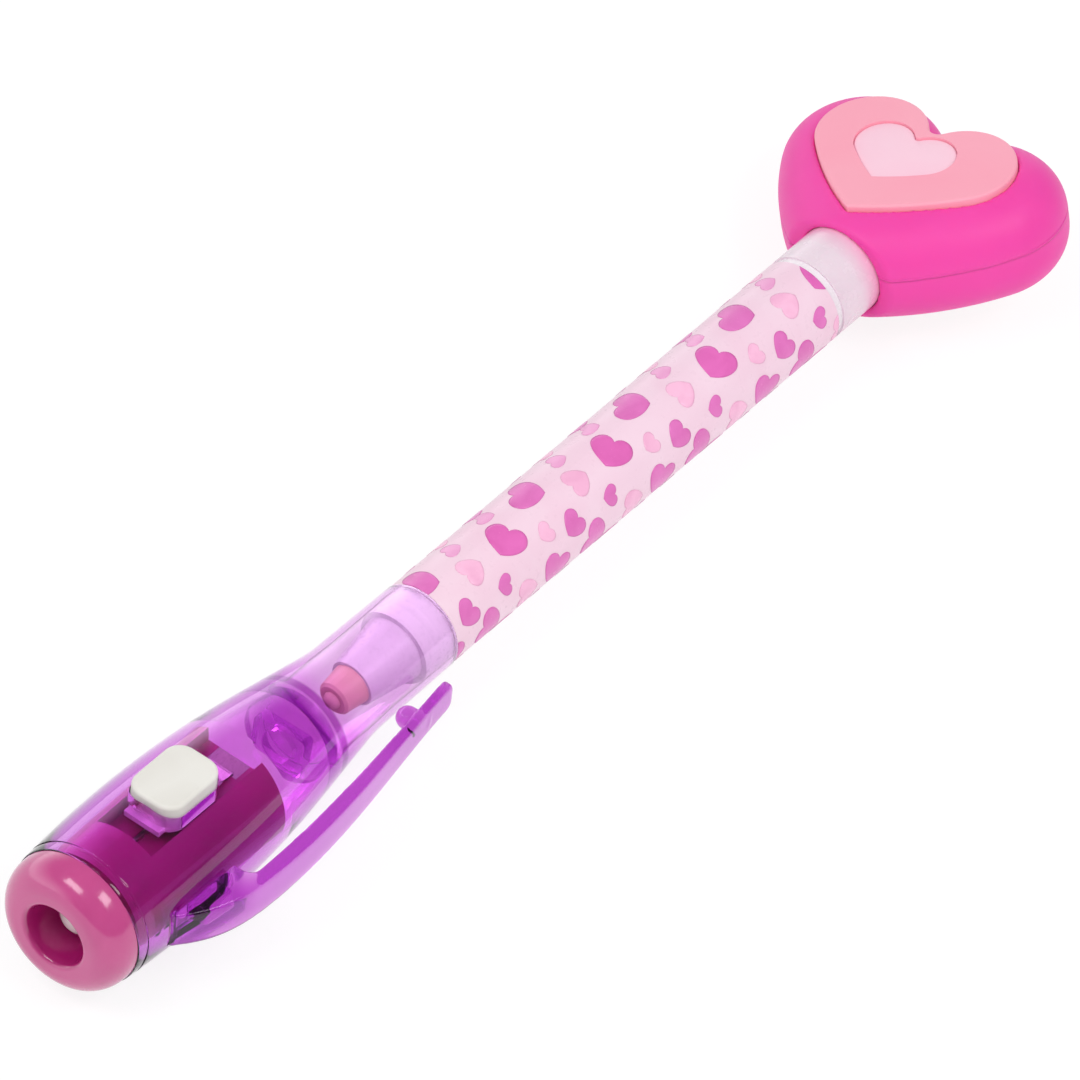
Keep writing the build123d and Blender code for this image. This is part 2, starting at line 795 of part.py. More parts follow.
quarter_turns = spring_turns * 4
with BuildPart() as battery_spring:
    with BuildLine() as winding:
        for quarter in range(quarter_turns):
            coil_biarc(quarter / 4, (quarter + 1) / 4)
    with BuildSketch(Plane(origin=coil_point(0), z_dir=coil_heading(0))):
        Circle(spring_wire / 2)
    sweep(path=winding.line)
save(battery_spring.part, "battery_spring")
steps_per_turn = 24
coil_points = [coil_point(step / steps_per_turn) for step in range(spring_turns * steps_per_turn + 1)]
coil_gap = min(
    (one - other).length
    for index, one in enumerate(coil_points)
    for other in coil_points[index + steps_per_turn // 2 :]
)
print(f"battery_spring: least gap to itself {coil_gap - spring_wire:.2f} mm")

# Contact plate behind the spring, with a tab folded over the carrier
with BuildPart() as contact_plate:
    with BuildSketch(Plane.YZ.offset(plate_x)):
        with Locations((0, -cell_drop)):
            Circle(plate_radius)
    extrude(amount=plate_thickness)
    with BuildSketch(Plane.XY.offset(pocket_floor - tab_thickness)):
        with Locations((tab_end_x, 0)):
            Rectangle(tab_length, tab_width, align=(Align.MIN, Align.CENTER))
    extrude(amount=tab_thickness)
    with BuildSketch(Plane.XY):
        with Locations((plate_x, 0)):
            Rectangle(plate_thickness, tab_width, align=(Align.MIN, Align.CENTER))
    extrude(amount=pocket_floor)
save(contact_plate.part, "contact_plate")

# Switch leaf: a springy strip that turns about the bead at its rear end
pivot_x = carrier_back_x - leaf_pivot_back
pivot_z = pocket_floor + leaf_bead + seat_gap
leaf_tip_x = button_x - leaf_past_centre
leaf_tip_z = button_bottom - seat_gap - leaf_thickness / 2
leaf_length = hypot(pivot_x - leaf_tip_x, leaf_tip_z - pivot_z)
leaf_rise = atan2(leaf_tip_z - pivot_z, pivot_x - leaf_tip_x)
leaf_plane = Plane(origin=(pivot_x, 0, pivot_z), x_dir=(-cos(leaf_rise), 0, sin(leaf_rise)), z_dir=(0, 1, 0))
with BuildPart() as switch_leaf:
    with BuildSketch(leaf_plane):
        Circle(leaf_bead)
        with Locations((leaf_length / 2, 0)):
            Rectangle(leaf_length, leaf_thickness)
    extrude(amount=leaf_width / 2, both=True)
save(switch_leaf.part, "switch_leaf")
leaf_pressed = atan2(leaf_tip_z - button_travel - pivot_z, pivot_x - leaf_tip_x)
leaf_swing = degrees(leaf_rise - leaf_pressed)
print(f"switch_leaf: turns {leaf_swing:.2f} degrees about ({pivot_x:.2f}, 0, {pivot_z:.2f})")
print(f"pocket_clip: rocks about ({heel_x:.2f}, {heel_y:.2f}, 0)")

# Button: a white key in the shell's window, kept in by a lip at each end
button_top = crown(button_at) + button_proud
with BuildPart() as switch_button:
    with BuildSketch(Plane.XY.offset(button_bottom)):
        with Locations((button_x, 0)):
            RectangleRounded(button_length, button_width, button_corner)
    extrude(amount=button_top - button_bottom)
    fillet(switch_button.faces().sort_by(Axis.Z)[-1].edges(), button_edge)
    with BuildSketch(Plane.XY.offset(button_bottom)):
        with Locations((button_x, 0)):
            Rectangle(button_length + 2 * (button_room + lip_reach), lip_width)
    extrude(amount=lip_height)
save(switch_button.part, "switch_button")
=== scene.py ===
# %% [markdown]
# # A pen with a lamp in its cap and a heart on its end
# The real pen is a white plastic tube in a printed film. A clear purple cap slides over its nib and
# holds a small lamp, three cells and a button. A soft heart is pushed on the other end.
# The engineering model is loaded first. It is the frame: every piece made here sits where it says.

# %% Load the frame
import json
import math

import bmesh
import bpy
from mathutils import Matrix, Vector


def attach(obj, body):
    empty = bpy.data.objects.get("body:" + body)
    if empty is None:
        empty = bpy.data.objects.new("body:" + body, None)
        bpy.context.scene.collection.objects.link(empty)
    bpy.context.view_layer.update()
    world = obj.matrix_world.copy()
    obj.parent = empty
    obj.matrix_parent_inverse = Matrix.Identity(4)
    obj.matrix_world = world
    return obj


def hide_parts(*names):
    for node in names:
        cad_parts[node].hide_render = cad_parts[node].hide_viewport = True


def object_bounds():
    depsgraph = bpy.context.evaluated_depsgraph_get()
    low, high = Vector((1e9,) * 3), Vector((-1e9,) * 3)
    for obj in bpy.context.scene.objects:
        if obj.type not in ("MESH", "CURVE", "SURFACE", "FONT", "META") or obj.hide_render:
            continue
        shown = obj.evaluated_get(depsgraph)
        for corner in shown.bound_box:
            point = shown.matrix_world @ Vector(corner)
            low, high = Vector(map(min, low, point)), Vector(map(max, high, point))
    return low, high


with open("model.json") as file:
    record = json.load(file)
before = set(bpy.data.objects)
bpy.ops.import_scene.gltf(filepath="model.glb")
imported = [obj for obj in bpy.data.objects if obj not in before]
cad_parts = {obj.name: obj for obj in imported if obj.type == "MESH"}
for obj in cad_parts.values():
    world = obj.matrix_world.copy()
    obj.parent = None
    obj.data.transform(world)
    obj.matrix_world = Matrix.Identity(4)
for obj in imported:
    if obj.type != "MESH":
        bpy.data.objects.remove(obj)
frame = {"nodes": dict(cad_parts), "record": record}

cad_low, cad_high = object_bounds()
node_body = {}
for body, members in frame["record"]["behaviour"]["bodies"].items():
    for member in members:
        node_body[member] = body

# %% [markdown]
# ## Sizes
# Blender works in metres and a pen is easier to think of in millimetres, so sizes are written in
# millimetres and turned into metres where a mesh is made. They are the engineering model's sizes.

# %% Sizes of the pen
MM = 0.001
barrel_radius = 5.0
sleeve_end = 63.2
socket_x = 69.8
heart_turn = math.radians(13.5)
lamp_tip_x = -57.3
lamp_back_x = -48.7
lamp_radius = 2.5
lamp_flange_radius = 2.9
lamp_flange = 1.0
cells_back_x = -36.9
plate_x = -31.4
spring_wire = 0.5
spring_radius = 2.4
spring_turns = 4
cell_drop = 0.8
coil_seat = 0.02
print("pen:", [round((high - low) / MM, 1) for low, high in zip(cad_low, cad_high)], "mm")

# %% [markdown]
# ## Small helpers
# A colour is easiest to read as the six letters a paint program shows. Blender wants linear light,
# so one helper turns the first into the second. Others make a piece, let it stand for a node of the
# frame, and open a mesh to edit it.


# %% Helpers for colours and pieces
def paint(letters):
    """Linear colour from six hexadecimal letters."""
    values = [int(letters[i : i + 2], 16) / 255 for i in (0, 2, 4)]
    return [v / 12.92 if v <= 0.04045 else ((v + 0.055) / 1.055) ** 2.4 for v in values] + [1.0]


def new_piece(name, mesh, material):
    """An object at the origin with this mesh and finish."""
    piece = bpy.data.objects.new(name, mesh)
    bpy.context.scene.collection.objects.link(piece)
    mesh.materials.clear()
    mesh.materials.append(material)
    return piece


def stand_for(piece, node):
    """The piece takes the place of a node of the frame, on the same body, and the node is hidden."""
    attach(piece, node_body[node])
    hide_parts(node)


def opened(mesh):
    """A mesh opened for editing."""
    shape = bmesh.new()
    shape.from_mesh(mesh)
    return shape


def closed(shape, mesh):
    """Writes an edited shape into a mesh."""
    shape.to_mesh(mesh)
    shape.free()
    return mesh


def smooth(mesh, limit=35):
    """Soft shading, with a crisp line where two faces turn by more than the limit in degrees."""
    shape = opened(mesh)
    for face in shape.faces:
        face.smooth = True
    for edge in shape.edges:
        edge.smooth = len(edge.link_faces) == 2 and edge.calc_face_angle(0) < math.radians(limit)
    closed(shape, mesh)


# %% [markdown]
# ## A skin for moulded plastic
# No moulded surface is one flat colour: the colourant swirls a little, and the mould's own texture
# breaks up the shine. One node group makes both from two noises, and each plastic sets its own values.


# %% Helpers for nodes
def link(tree, source, target):
    """Joins two sockets."""
    tree.links.new(source, target)


def add(tree, kind, **settings):
    """A node of this kind, with some of its settings."""
    node = tree.nodes.new(kind)
    for key, value in settings.items():
        setattr(node, key, value)
    return node


def feed(tree, value, target):
    """Gives a socket its value: another socket, or a plain number or colour."""
    if isinstance(value, bpy.types.NodeSocket):
        link(tree, value, target)
    elif value is not None:
        target.default_value = value


def tune(node, values):
    """Sets inputs of a node by their names."""
    for label, value in values.items():
        node.inputs[label].default_value = value


def blend_colours(tree, share, first, second):
    """Colour between two colours. Each may be a socket or a plain colour."""
    mix = add(tree, "ShaderNodeMix", data_type="RGBA")
    for number, value in ((0, share), (6, first), (7, second)):
        feed(tree, value, mix.inputs[number])
    return mix.outputs[2]


def ramp(tree, value, low, high, start=0.0, end=1.0):
    """Value from start to end as the input goes from low to high."""
    scale = add(tree, "ShaderNodeMapRange", clamp=True)
    for socket, setting in zip(scale.inputs, (value, low, high, start, end)):
        feed(tree, setting, socket)
    return scale.outputs[0]


def calc(tree, operation, first, second=None):
    """One step of arithmetic on sockets or numbers."""
    node = add(tree, "ShaderNodeMath", operation=operation)
    for socket, value in zip(node.inputs, (first, second)):
        feed(tree, value, socket)
    return node.outputs[0]


def place_on(tree):
    """Socket for the place of a surface point."""
    return add(tree, "ShaderNodeTexCoord").outputs["Object"]


# %% Node group: moulded skin
def new_group(name, inputs, outputs):
    """Empty shader group with named inputs and outputs."""
    group = bpy.data.node_groups.new(name, "ShaderNodeTree")
    for label, kind in inputs:
        group.interface.new_socket(label, in_out="INPUT", socket_type=kind)
    for label, kind in outputs:
        group.interface.new_socket(label, in_out="OUTPUT", socket_type=kind)
    return group, add(group, "NodeGroupInput"), add(group, "NodeGroupOutput")


skin, skin_in, skin_out = new_group(
    "moulded_skin",
    [
        ("Colour", "NodeSocketColor"),
        ("Swirl Colour", "NodeSocketColor"),
        ("Swirl Scale", "NodeSocketFloat"),
        ("Grain Scale", "NodeSocketFloat"),
        ("Smoothest", "NodeSocketFloat"),
        ("Roughest", "NodeSocketFloat"),
    ],
    [("Colour", "NodeSocketColor"), ("Roughness", "NodeSocketFloat"), ("Height", "NodeSocketFloat")],
)
swirl = add(skin, "ShaderNodeTexNoise")
tune(swirl, {"Detail": 3, "Distortion": 0.6})
grain = add(skin, "ShaderNodeTexNoise")
tune(grain, {"Detail": 4})
for noise, label in ((swirl, "Swirl Scale"), (grain, "Grain Scale")):
    link(skin, place_on(skin), noise.inputs["Vector"])
    link(skin, skin_in.outputs[label], noise.inputs["Scale"])
swirl_share = ramp(skin, swirl.outputs[0], 0.35, 0.7)
mixed = blend_colours(skin, swirl_share, skin_in.outputs["Colour"], skin_in.outputs["Swirl Colour"])
smoothest, roughest = skin_in.outputs["Smoothest"], skin_in.outputs["Roughest"]
roughness = ramp(skin, grain.outputs[0], 0.3, 0.7, smoothest, roughest)
for value, label in ((mixed, "Colour"), (roughness, "Roughness"), (grain.outputs[0], "Height")):
    link(skin, value, skin_out.inputs[label])
print("group:", skin.name, "with", len(skin.nodes), "nodes")


# %% A finish made with that skin
def finish(name):
    """New material: its node tree, and the surface shader in it."""
    material = bpy.data.materials.new(name)
    material.use_nodes = True
    return material, material.node_tree, material.node_tree.nodes["Principled BSDF"]


def moulded(name, colour, swirl_colour, smoothest, roughest, grain_mm=0.25, depth_mm=0.01, swirl_mm=9.0):
    """Moulded plastic: its colours, its range of roughness, and the size and depth of its grain."""
    material, tree, surface = finish(name)
    cover = add(tree, "ShaderNodeGroup", node_tree=skin)
    tune(cover, {"Colour": paint(colour), "Swirl Colour": paint(swirl_colour)})
    tune(cover, {"Swirl Scale": 1 / (swirl_mm * MM), "Grain Scale": 1 / (grain_mm * MM)})
    tune(cover, {"Smoothest": smoothest, "Roughest": roughest})
    bump = add(tree, "ShaderNodeBump")
    tune(bump, {"Strength": 0.5, "Distance": depth_mm * MM})
    link(tree, cover.outputs["Colour"], surface.inputs["Base Color"])
    link(tree, cover.outputs["Roughness"], surface.inputs["Roughness"])
    link(tree, cover.outputs["Height"], bump.inputs["Height"])
    link(tree, bump.outputs["Normal"], surface.inputs["Normal"])
    return material, tree, surface, cover


# %% [markdown]
# ## Clear purple shell
# The cap and its clip are moulded in a clear tinted plastic. Glass with all its colour in the surface
# would look equally dark at every thickness, so the skin has a light tint and the rest of the colour is
# in the volume: light loses its green along the way, and a thick wall looks deeper than a thin one. The
# plastic bends light less than a real one, because light that runs round inside a thin wall leaves black
# streaks. A clear coat gives the shine back. The wall across the cap shows as a darker ring.


# %% Finish of the cap and clip
def along_pen(tree):
    """Socket for the place of a surface point along the pen."""
    place = add(tree, "ShaderNodeSeparateXYZ")
    link(tree, place_on(tree), place.inputs[0])
    return place.outputs[0]


def clear_plastic(name, near, far, near_x, far_x, refraction, ring_x=None):
    """Clear purple plastic, with one tint in the skin near the mouth and another beyond."""
    skin_grain = {"grain_mm": 2.5, "depth_mm": 0.002, "swirl_mm": 14}
    material, tree, surface, cover = moulded(name, near, near, 0.03, 0.06, **skin_grain)
    along = along_pen(tree)
    share = ramp(tree, along, near_x * MM, far_x * MM)
    tint = blend_colours(tree, share, cover.outputs["Colour"], paint(far))
    if ring_x is not None:
        off_ring = calc(tree, "ABSOLUTE", calc(tree, "SUBTRACT", along, ring_x * MM))
        on_ring = ramp(tree, off_ring, ring_edge * MM, ring_core * MM)
        tint = blend_colours(tree, on_ring, tint, paint("a044ab"))
    link(tree, tint, surface.inputs["Base Color"])
    tune(surface, {"Transmission Weight": 1.0, "IOR": refraction})
    tune(surface, {"Coat Weight": 1.0, "Coat Roughness": 0.04})
    depth = add(tree, "ShaderNodeVolumeAbsorption")
    tune(depth, {"Color": (0.74, 0.03, 0.8, 1), "Density": 300})
    link(tree, depth.outputs[0], tree.nodes["Material Output"].inputs["Volume"])
    return material


ring_core, ring_edge = 0.4, 0.75
shell_clear = clear_plastic(
    "shell_clear", "fefafe", "f4c9f7", near_x=-17, far_x=-21.5, refraction=1.15, ring_x=-20.2
)
clip_clear = clear_plastic("clip_clear", "d680dd", "e49ce9", near_x=-13, far_x=-19, refraction=1.12)
print("clear plastic:", shell_clear.name, "and", clip_clear.name)

# %% [markdown]
# ## Shell of the cap
# The shell is one moulding: a turned form with a wall across it, a hollow boss on that wall, a window
# for the button, and a slot and a groove for the clip's foot. Light goes in and out through its faces,
# and on a coarse mesh each facet would send it astray and leave dark streaks. So the outline is spun in
# many fine steps, and the openings are cut from it with Boolean modifiers, as a mould's cores leave them.


# %% Turned shapes
def turned_shape(name, outline, material, steps=64):
    """Spins an outline of (along, radius) points, in millimetres, round the pen's axis."""
    shape = bmesh.new()
    rows = []
    for along, radius in outline:
        if radius < 1e-6:
            rows.append([shape.verts.new((along * MM, 0, 0))])
            continue
        row = []
        for step in range(steps):
            angle = 2 * math.pi * step / steps
            aside, above = radius * math.sin(angle), radius * math.cos(angle)
            row.append(shape.verts.new((along * MM, aside * MM, above * MM)))
        rows.append(row)
    for first, second in zip(rows, rows[1:] + rows[:1]):
        if len(first) == 1 and len(second) == 1:
            continue
        for step in range(steps):
            after = (step + 1) % steps
            corners = [first[step % len(first)], first[after % len(first)]]
            corners += [second[after % len(second)], second[step % len(second)]]
            shape.faces.new(dict.fromkeys(corners))
    bmesh.ops.recalc_face_normals(shape, faces=shape.faces)
    mesh = closed(shape, bpy.data.meshes.new(name))
    smooth(mesh)
    return new_piece(name, mesh, material)


# %% Outline of the shell
shell_length, shell_crest, crest_at, crown_arc = 56.0, 8.5, 11.5, 138.0
taper_at, sleeve_at, sleeve_radius, mouth_radius = 33.0, 43.0, 5.26, 5.12
lamp_bore, lamp_bore_end, pen_bore = 6.85, 26.0, 4.42
septum_x, septum_back_x, septum_wall_radius = -22.0, -19.5, 5.36
end_gap = 0.03
bore_round, mouth_inner_round, mouth_round, sleeve_blend = 0.6, 0.15, 0.2, 25.0
rim_round, septum_round = 0.12, 0.3


def crown(along):
    """Outer radius of the shell's swollen part, at a distance from its lamp end."""
    return shell_crest - crown_arc + math.sqrt(crown_arc**2 - (along - crest_at) ** 2)


def rounded(corners, steps=6):
    """Points of a line through (across, up, rounding) corners, with an arc at each rounded one."""
    points = []
    for i, (across, up, rounding) in enumerate(corners):
        here = Vector((across, up))
        if rounding == 0:
            points.append((across, up))
            continue
        before = (Vector(corners[i - 1][:2]) - here).normalized()
        after = (Vector(corners[(i + 1) % len(corners)][:2]) - here).normalized()
        half = before.angle(after) / 2
        start, end = (here + side * rounding / math.tan(half) for side in (before, after))
        middle = here + (before + after).normalized() * rounding / math.sin(half)
        for step in range(steps + 1):
            spoke = start.lerp(end, step / steps) - middle
            points.append(tuple(middle + spoke.normalized() * rounding))
    return points


front_x = -shell_length + end_gap
swell = [(along - shell_length, crown(along), 0) for along in range(round(taper_at), 1, -1)]
groove_back, groove_front, groove_depth, groove_round = 1.5, 1.15, 0.1, 0.03
for along, depths in ((groove_back, (0, groove_depth)), (groove_front, (groove_depth, 0))):
    for depth in depths:
        swell.append((along - shell_length, crown(along) - depth, groove_round))
shell_outline = rounded(
    [(septum_back_x, 0, 0), (septum_back_x, pen_bore, bore_round), (-end_gap, pen_bore, mouth_inner_round)]
    + [(-end_gap, mouth_radius, mouth_round), (sleeve_at - shell_length, sleeve_radius, sleeve_blend)]
    + swell
    + [(front_x, crown(0), rim_round), (front_x, lamp_bore, rim_round)]
    + [(lamp_bore_end - shell_length, lamp_bore, bore_round)]
    + [(septum_x, septum_wall_radius, septum_round), (septum_x, 0, 0)]
)
shell = turned_shape("clear_shell", shell_outline, shell_clear, 192)
print("shell outline:", len(shell_outline), "points")


# %% Blocks to carve with
def block(outline, low, high, place):
    """A straight-sided object to cut with: its outline, its two ends and where a point of it lies."""
    shape = bmesh.new()
    ends = [[shape.verts.new(Vector(place(u, v, w)) * MM) for u, v in outline] for w in (low, high)]
    for end in ends:
        shape.faces.new(end)
    for i in range(len(outline)):
        shape.faces.new((ends[0][i - 1], ends[0][i], ends[1][i], ends[1][i - 1]))
    bmesh.ops.recalc_face_normals(shape, faces=shape.faces)
    return closed(shape, bpy.data.meshes.new("block"))


def box_outline(middle, wide, high, rounding):
    """Outline of a box with rounded corners."""
    signs = ((-1, -1), (1, -1), (1, 1), (-1, 1))
    return rounded([(middle + across * wide / 2, up * high / 2, rounding) for across, up in signs])


def round_outline(middle, radius, steps=32):
    """Outline of a disc."""
    turns = [2 * math.pi * step / steps for step in range(steps)]
    return [(middle[0] + radius * math.cos(turn), middle[1] + radius * math.sin(turn)) for turn in turns]


def applied(piece):
    """Gives a piece the mesh that its modifiers make, and returns that mesh."""
    bpy.context.view_layer.update()
    result = piece.evaluated_get(bpy.context.evaluated_depsgraph_get())
    mesh = bpy.data.meshes.new_from_object(result)
    piece.modifiers.clear()
    piece.data = mesh
    return mesh


def carve(piece, operation, mesh):
    """Adds a block to a piece (UNION) or cuts it away (DIFFERENCE)."""
    tool = bpy.data.objects.new("tool", mesh)
    bpy.context.scene.collection.objects.link(tool)
    change = piece.modifiers.new("carve", "BOOLEAN")
    change.operation, change.object, change.solver = operation, tool, "EXACT"
    applied(piece)
    bpy.data.objects.remove(tool)


def along_axis(u, v, w):
    """An outline across the pen, drawn out along it."""
    return (w, u, v)


def upwards(u, v, w):
    """An outline seen from above, drawn out upwards."""
    return (u, v, w)


def sideways(u, v, w):
    """An outline seen from the side, drawn out to the side."""
    return (u, w, v)


# %% Boss and openings of the shell
boss_width, boss_height, boss_length, boss_root, boss_round = 6.5, 5.2, 1.4, 0.5, 0.6
boss_bore, boss_bore_depth = 2.0, 1.0
window_x, window_length, window_width, window_round = -41.2, 9.2, 6.7, 2.25
slot_x, slot_length, slot_height, slot_round, slot_floor = -46.05, 7.94, 3.64, 0.05, -7.47
heel_x, heel_y, heel_radius, heel_reach = -50.6, -8.165, 0.55, 2.35
beyond = 12.0

boss_front = septum_x - boss_length
boss = box_outline(0, boss_width, boss_height, boss_round)
bore = round_outline((0, 0), boss_bore)
window = box_outline(window_x, window_length, window_width, window_round)
slot = box_outline(slot_x, slot_length, slot_height, slot_round)
heel = round_outline((heel_x, heel_y), heel_radius)
carve(shell, "UNION", block(boss, boss_front, septum_x + boss_root, along_axis))
for outline, low, high, facing in (
    (bore, boss_front - boss_bore_depth, boss_front + boss_bore_depth, along_axis),
    (window, 0, beyond, upwards),
    (slot, slot_floor, -beyond, sideways),
    (heel, -heel_reach, heel_reach, upwards),
):
    carve(shell, "DIFFERENCE", block(outline, low, high, facing))
smooth(shell.data, 30)
stand_for(shell, "cap_shell")
print("shell:", len(shell.data.polygons), "faces")

# %% [markdown]
# ## Bezel, carrier, button and the other hard plastics
# These are ordinary moulded pieces, so they share the skin above. The bezel is polished, takes a clear
# coat and has painted shade, a deeper rose, inside its hole. The carrier is dark plum with a soft sheen,
# and the button is a chalky satin white. The section's cone has a painted lilac tint and the collar by
# the heart a painted pink reflection, both standing for light from what is next to them.

# %% Finishes of the hard plastics
# Radii and places where the painted shade in the bezel's hole, the cone's painted lilac tint and the
# collar's painted pink reflection begin and end.
hole_edge, hole_inside = 4.1, 3.5
cone_start_x, cone_end_x = -4.0, -5.5
reflection_start_x, reflection_end_x = socket_x - 2.6, socket_x + 0.4


def dress(material, *nodes):
    """Nodes whose shape is right keep it, and get a better finish."""
    for node in nodes:
        frame["nodes"][node].material_slots[0].material = material


bezel_rose, tree, surface, cover = moulded("bezel_rose", "c94f8e", "c04686", 0.16, 0.24, 0.3, 0.003)
tune(surface, {"Coat Weight": 0.6, "Coat Roughness": 0.06})
tune(surface, {"Subsurface Weight": 0.1, "Subsurface Radius": (0.0012, 0.0005, 0.0008)})
across = add(tree, "ShaderNodeVectorMath", operation="MULTIPLY")
link(tree, place_on(tree), across.inputs[0])
across.inputs[1].default_value = (0, 1, 1)
off_axis = add(tree, "ShaderNodeVectorMath", operation="LENGTH")
link(tree, across.outputs[0], off_axis.inputs[0])
# Painted shade: inside the hole the rose darkens to a deeper colour, for the shade in the recess.
painted_hole_shade = ramp(tree, off_axis.outputs["Value"], hole_edge * MM, hole_inside * MM)
rose = blend_colours(tree, painted_hole_shade, cover.outputs["Colour"], paint("ab1c6e"))
link(tree, rose, surface.inputs["Base Color"])

carrier_plum, tree, surface, cover = moulded("carrier_plum", "a6006d", "9a0064", 0.4, 0.5, 1.5, 0.002)
tune(surface, {"Specular IOR Level": 1.0, "Specular Tint": (1.0, 0.8, 1.0, 1)})

button_white, tree, surface, cover = moulded("button_white", "e9e7e1", "e2dfd8", 0.42, 0.58, 0.12, 0.012)
barrel_white, tree, surface, cover = moulded("barrel_white", "f6eef4", "efe4ec", 0.22, 0.32, 0.5, 0.004)

section_white, tree, surface, cover = moulded("section_white", "ebe4ed", "e6dee9", 0.24, 0.36, 0.5, 0.005)
# Painted light: deeper in the cap the section turns lilac, for light from the clear purple cap round it.
on_cone = ramp(tree, along_pen(tree), cone_start_x * MM, cone_end_x * MM)
cone_painted_tint = blend_colours(tree, on_cone, cover.outputs["Colour"], paint("dccfe0"))
link(tree, cone_painted_tint, surface.inputs["Base Color"])

collar_pale, tree, surface, cover = moulded("collar_pale", "efdde8", "e8d2e0", 0.2, 0.3, 1.2, 0.002)
# Painted reflection: the collar turns pink towards the heart, for the heart's colour mirrored in it.
near_heart = ramp(tree, along_pen(tree), reflection_start_x * MM, reflection_end_x * MM)
painted_heart_reflection = blend_colours(tree, near_heart, cover.outputs["Colour"], paint("f3b4d2"))
link(tree, painted_heart_reflection, surface.inputs["Base Color"])
tune(surface, {"Subsurface Weight": 0.12, "Subsurface Radius": (0.002, 0.0012, 0.0016)})

coral, tree, surface, cover = moulded("coral", "e0aeae", "d9a6a7", 0.3, 0.42, 0.4, 0.006)
for material, node in (
    (bezel_rose, "lamp_bezel"),
    (carrier_plum, "battery_carrier"),
    (button_white, "switch_button"),
    (barrel_white, "barrel_tube"),
    (section_white, "nib_section"),
    (collar_pale, "end_plug"),
    (coral, "nib_holder"),
):
    dress(material, node)
    print(node, "in", material.name)

# %% [markdown]
# ## Felt and fibre
# The nib is pressed felt and the reservoir a bundle of bonded fibres along the axis. A noise that is
# stretched along the pen gives the fibres' direction.

# %% Finishes of the nib and the reservoir
fibre_depth = 0.05


def drawn_noise(tree, stretch, width_mm, detail):
    """Noise that is drawn out or squeezed along each direction."""
    where = add(tree, "ShaderNodeMapping")
    link(tree, place_on(tree), where.inputs["Vector"])
    noise = add(tree, "ShaderNodeTexNoise")
    link(tree, where.outputs[0], noise.inputs["Vector"])
    tune(where, {"Scale": stretch})
    tune(noise, {"Scale": 1 / (width_mm * MM), "Detail": detail})
    return noise.outputs[0]


def fibres(name, colour, shade, width_mm, stretch):
    """Fibres along the pen: a noise drawn out along X."""
    material, tree, surface = finish(name)
    strands = drawn_noise(tree, (1 / stretch, 1, 1), width_mm, 5)
    share = ramp(tree, strands, 0.35, 0.65)
    link(tree, blend_colours(tree, share, paint(shade), paint(colour)), surface.inputs["Base Color"])
    tune(surface, {"Roughness": 0.9})
    bump = add(tree, "ShaderNodeBump")
    tune(bump, {"Distance": fibre_depth * MM})
    link(tree, strands, bump.inputs["Height"])
    link(tree, bump.outputs["Normal"], surface.inputs["Normal"])
    return material


felt = fibres("felt", "e6bcba", "d8aeac", 0.12, 3)
fibre = fibres("fibre", "efeee8", "d6d4cc", 0.15, 20)
dress(felt, "felt_nib")
dress(fibre, "ink_reservoir")
print("fibres:", felt.name, "and", fibre.name)

# %% [markdown]
# ## Metal pieces
# The cells are plated steel with fine turning marks. The leads, the spring and the leaf are tinned. The
# contact plate's darker grey is painted shade, as it shows through the cap. A squeezed noise gives the
# marks.

# %% Finishes of the metals
mark_width = 0.5


def metal(name, colour, shade, smoothest, roughest, marks):
    """Bright metal with marks drawn along one direction."""
    material, tree, surface = finish(name)
    lines = drawn_noise(tree, marks, mark_width, 6)
    share = ramp(tree, lines, 0.3, 0.7)
    link(tree, blend_colours(tree, share, paint(shade), paint(colour)), surface.inputs["Base Color"])
    link(tree, ramp(tree, lines, 0.0, 1.0, smoothest, roughest), surface.inputs["Roughness"])
    tune(surface, {"Metallic": 1.0})
    return material


cell_steel = metal("cell_steel", "d8d6d4", "bab8b8", 0.18, 0.4, (8, 1, 1))
wire_tin = metal("wire_tin", "cfcdca", "aeaca8", 0.2, 0.45, (1, 6, 6))
# Painted shade: the plate's grey is darker than the other metals, for how it shows through the cap.
contact_brass = metal("contact_brass", "a59d9c", "938b8a", 0.2, 0.42, (1, 8, 2))
dress(cell_steel, "button_cell_1", "button_cell_2", "button_cell_3")
dress(wire_tin, "anode_lead", "cathode_lead", "switch_leaf")
dress(contact_brass, "contact_plate")
print("metals:", cell_steel.name, wire_tin.name, contact_brass.name)

# %% [markdown]
# ## Contact spring
# A wound wire follows a rule, so Geometry Nodes draw it: a spiral, turned to lie along the pen, and a
# small circle swept along it. The tree's inputs are the numbers a spring maker would ask for.


# %% Helpers for Geometry Nodes
def new_tree(name, inputs):
    """Geometry tree with named inputs, and the identifier of each."""
    tree = bpy.data.node_groups.new(name, "GeometryNodeTree")
    tree.interface.new_socket("Geometry", in_out="INPUT", socket_type="NodeSocketGeometry")
    tree.interface.new_socket("Geometry", in_out="OUTPUT", socket_type="NodeSocketGeometry")
    keys = {}
    for label, kind in inputs:
        keys[label] = tree.interface.new_socket(label, in_out="INPUT", socket_type=kind).identifier
    return tree, keys, add(tree, "NodeGroupInput"), add(tree, "NodeGroupOutput")


def grown(name, seed_mesh, tree, keys, values, material):
    """Runs a geometry tree on a mesh and returns a plain piece."""
    holder = bpy.data.objects.new(name + "_source", seed_mesh)
    bpy.context.scene.collection.objects.link(holder)
    grower = holder.modifiers.new(name, "NODES")
    grower.node_group = tree
    for label, value in values.items():
        grower[keys[label]] = value
    mesh = applied(holder)
    bpy.data.objects.remove(holder)
    return new_piece(name, mesh, material)


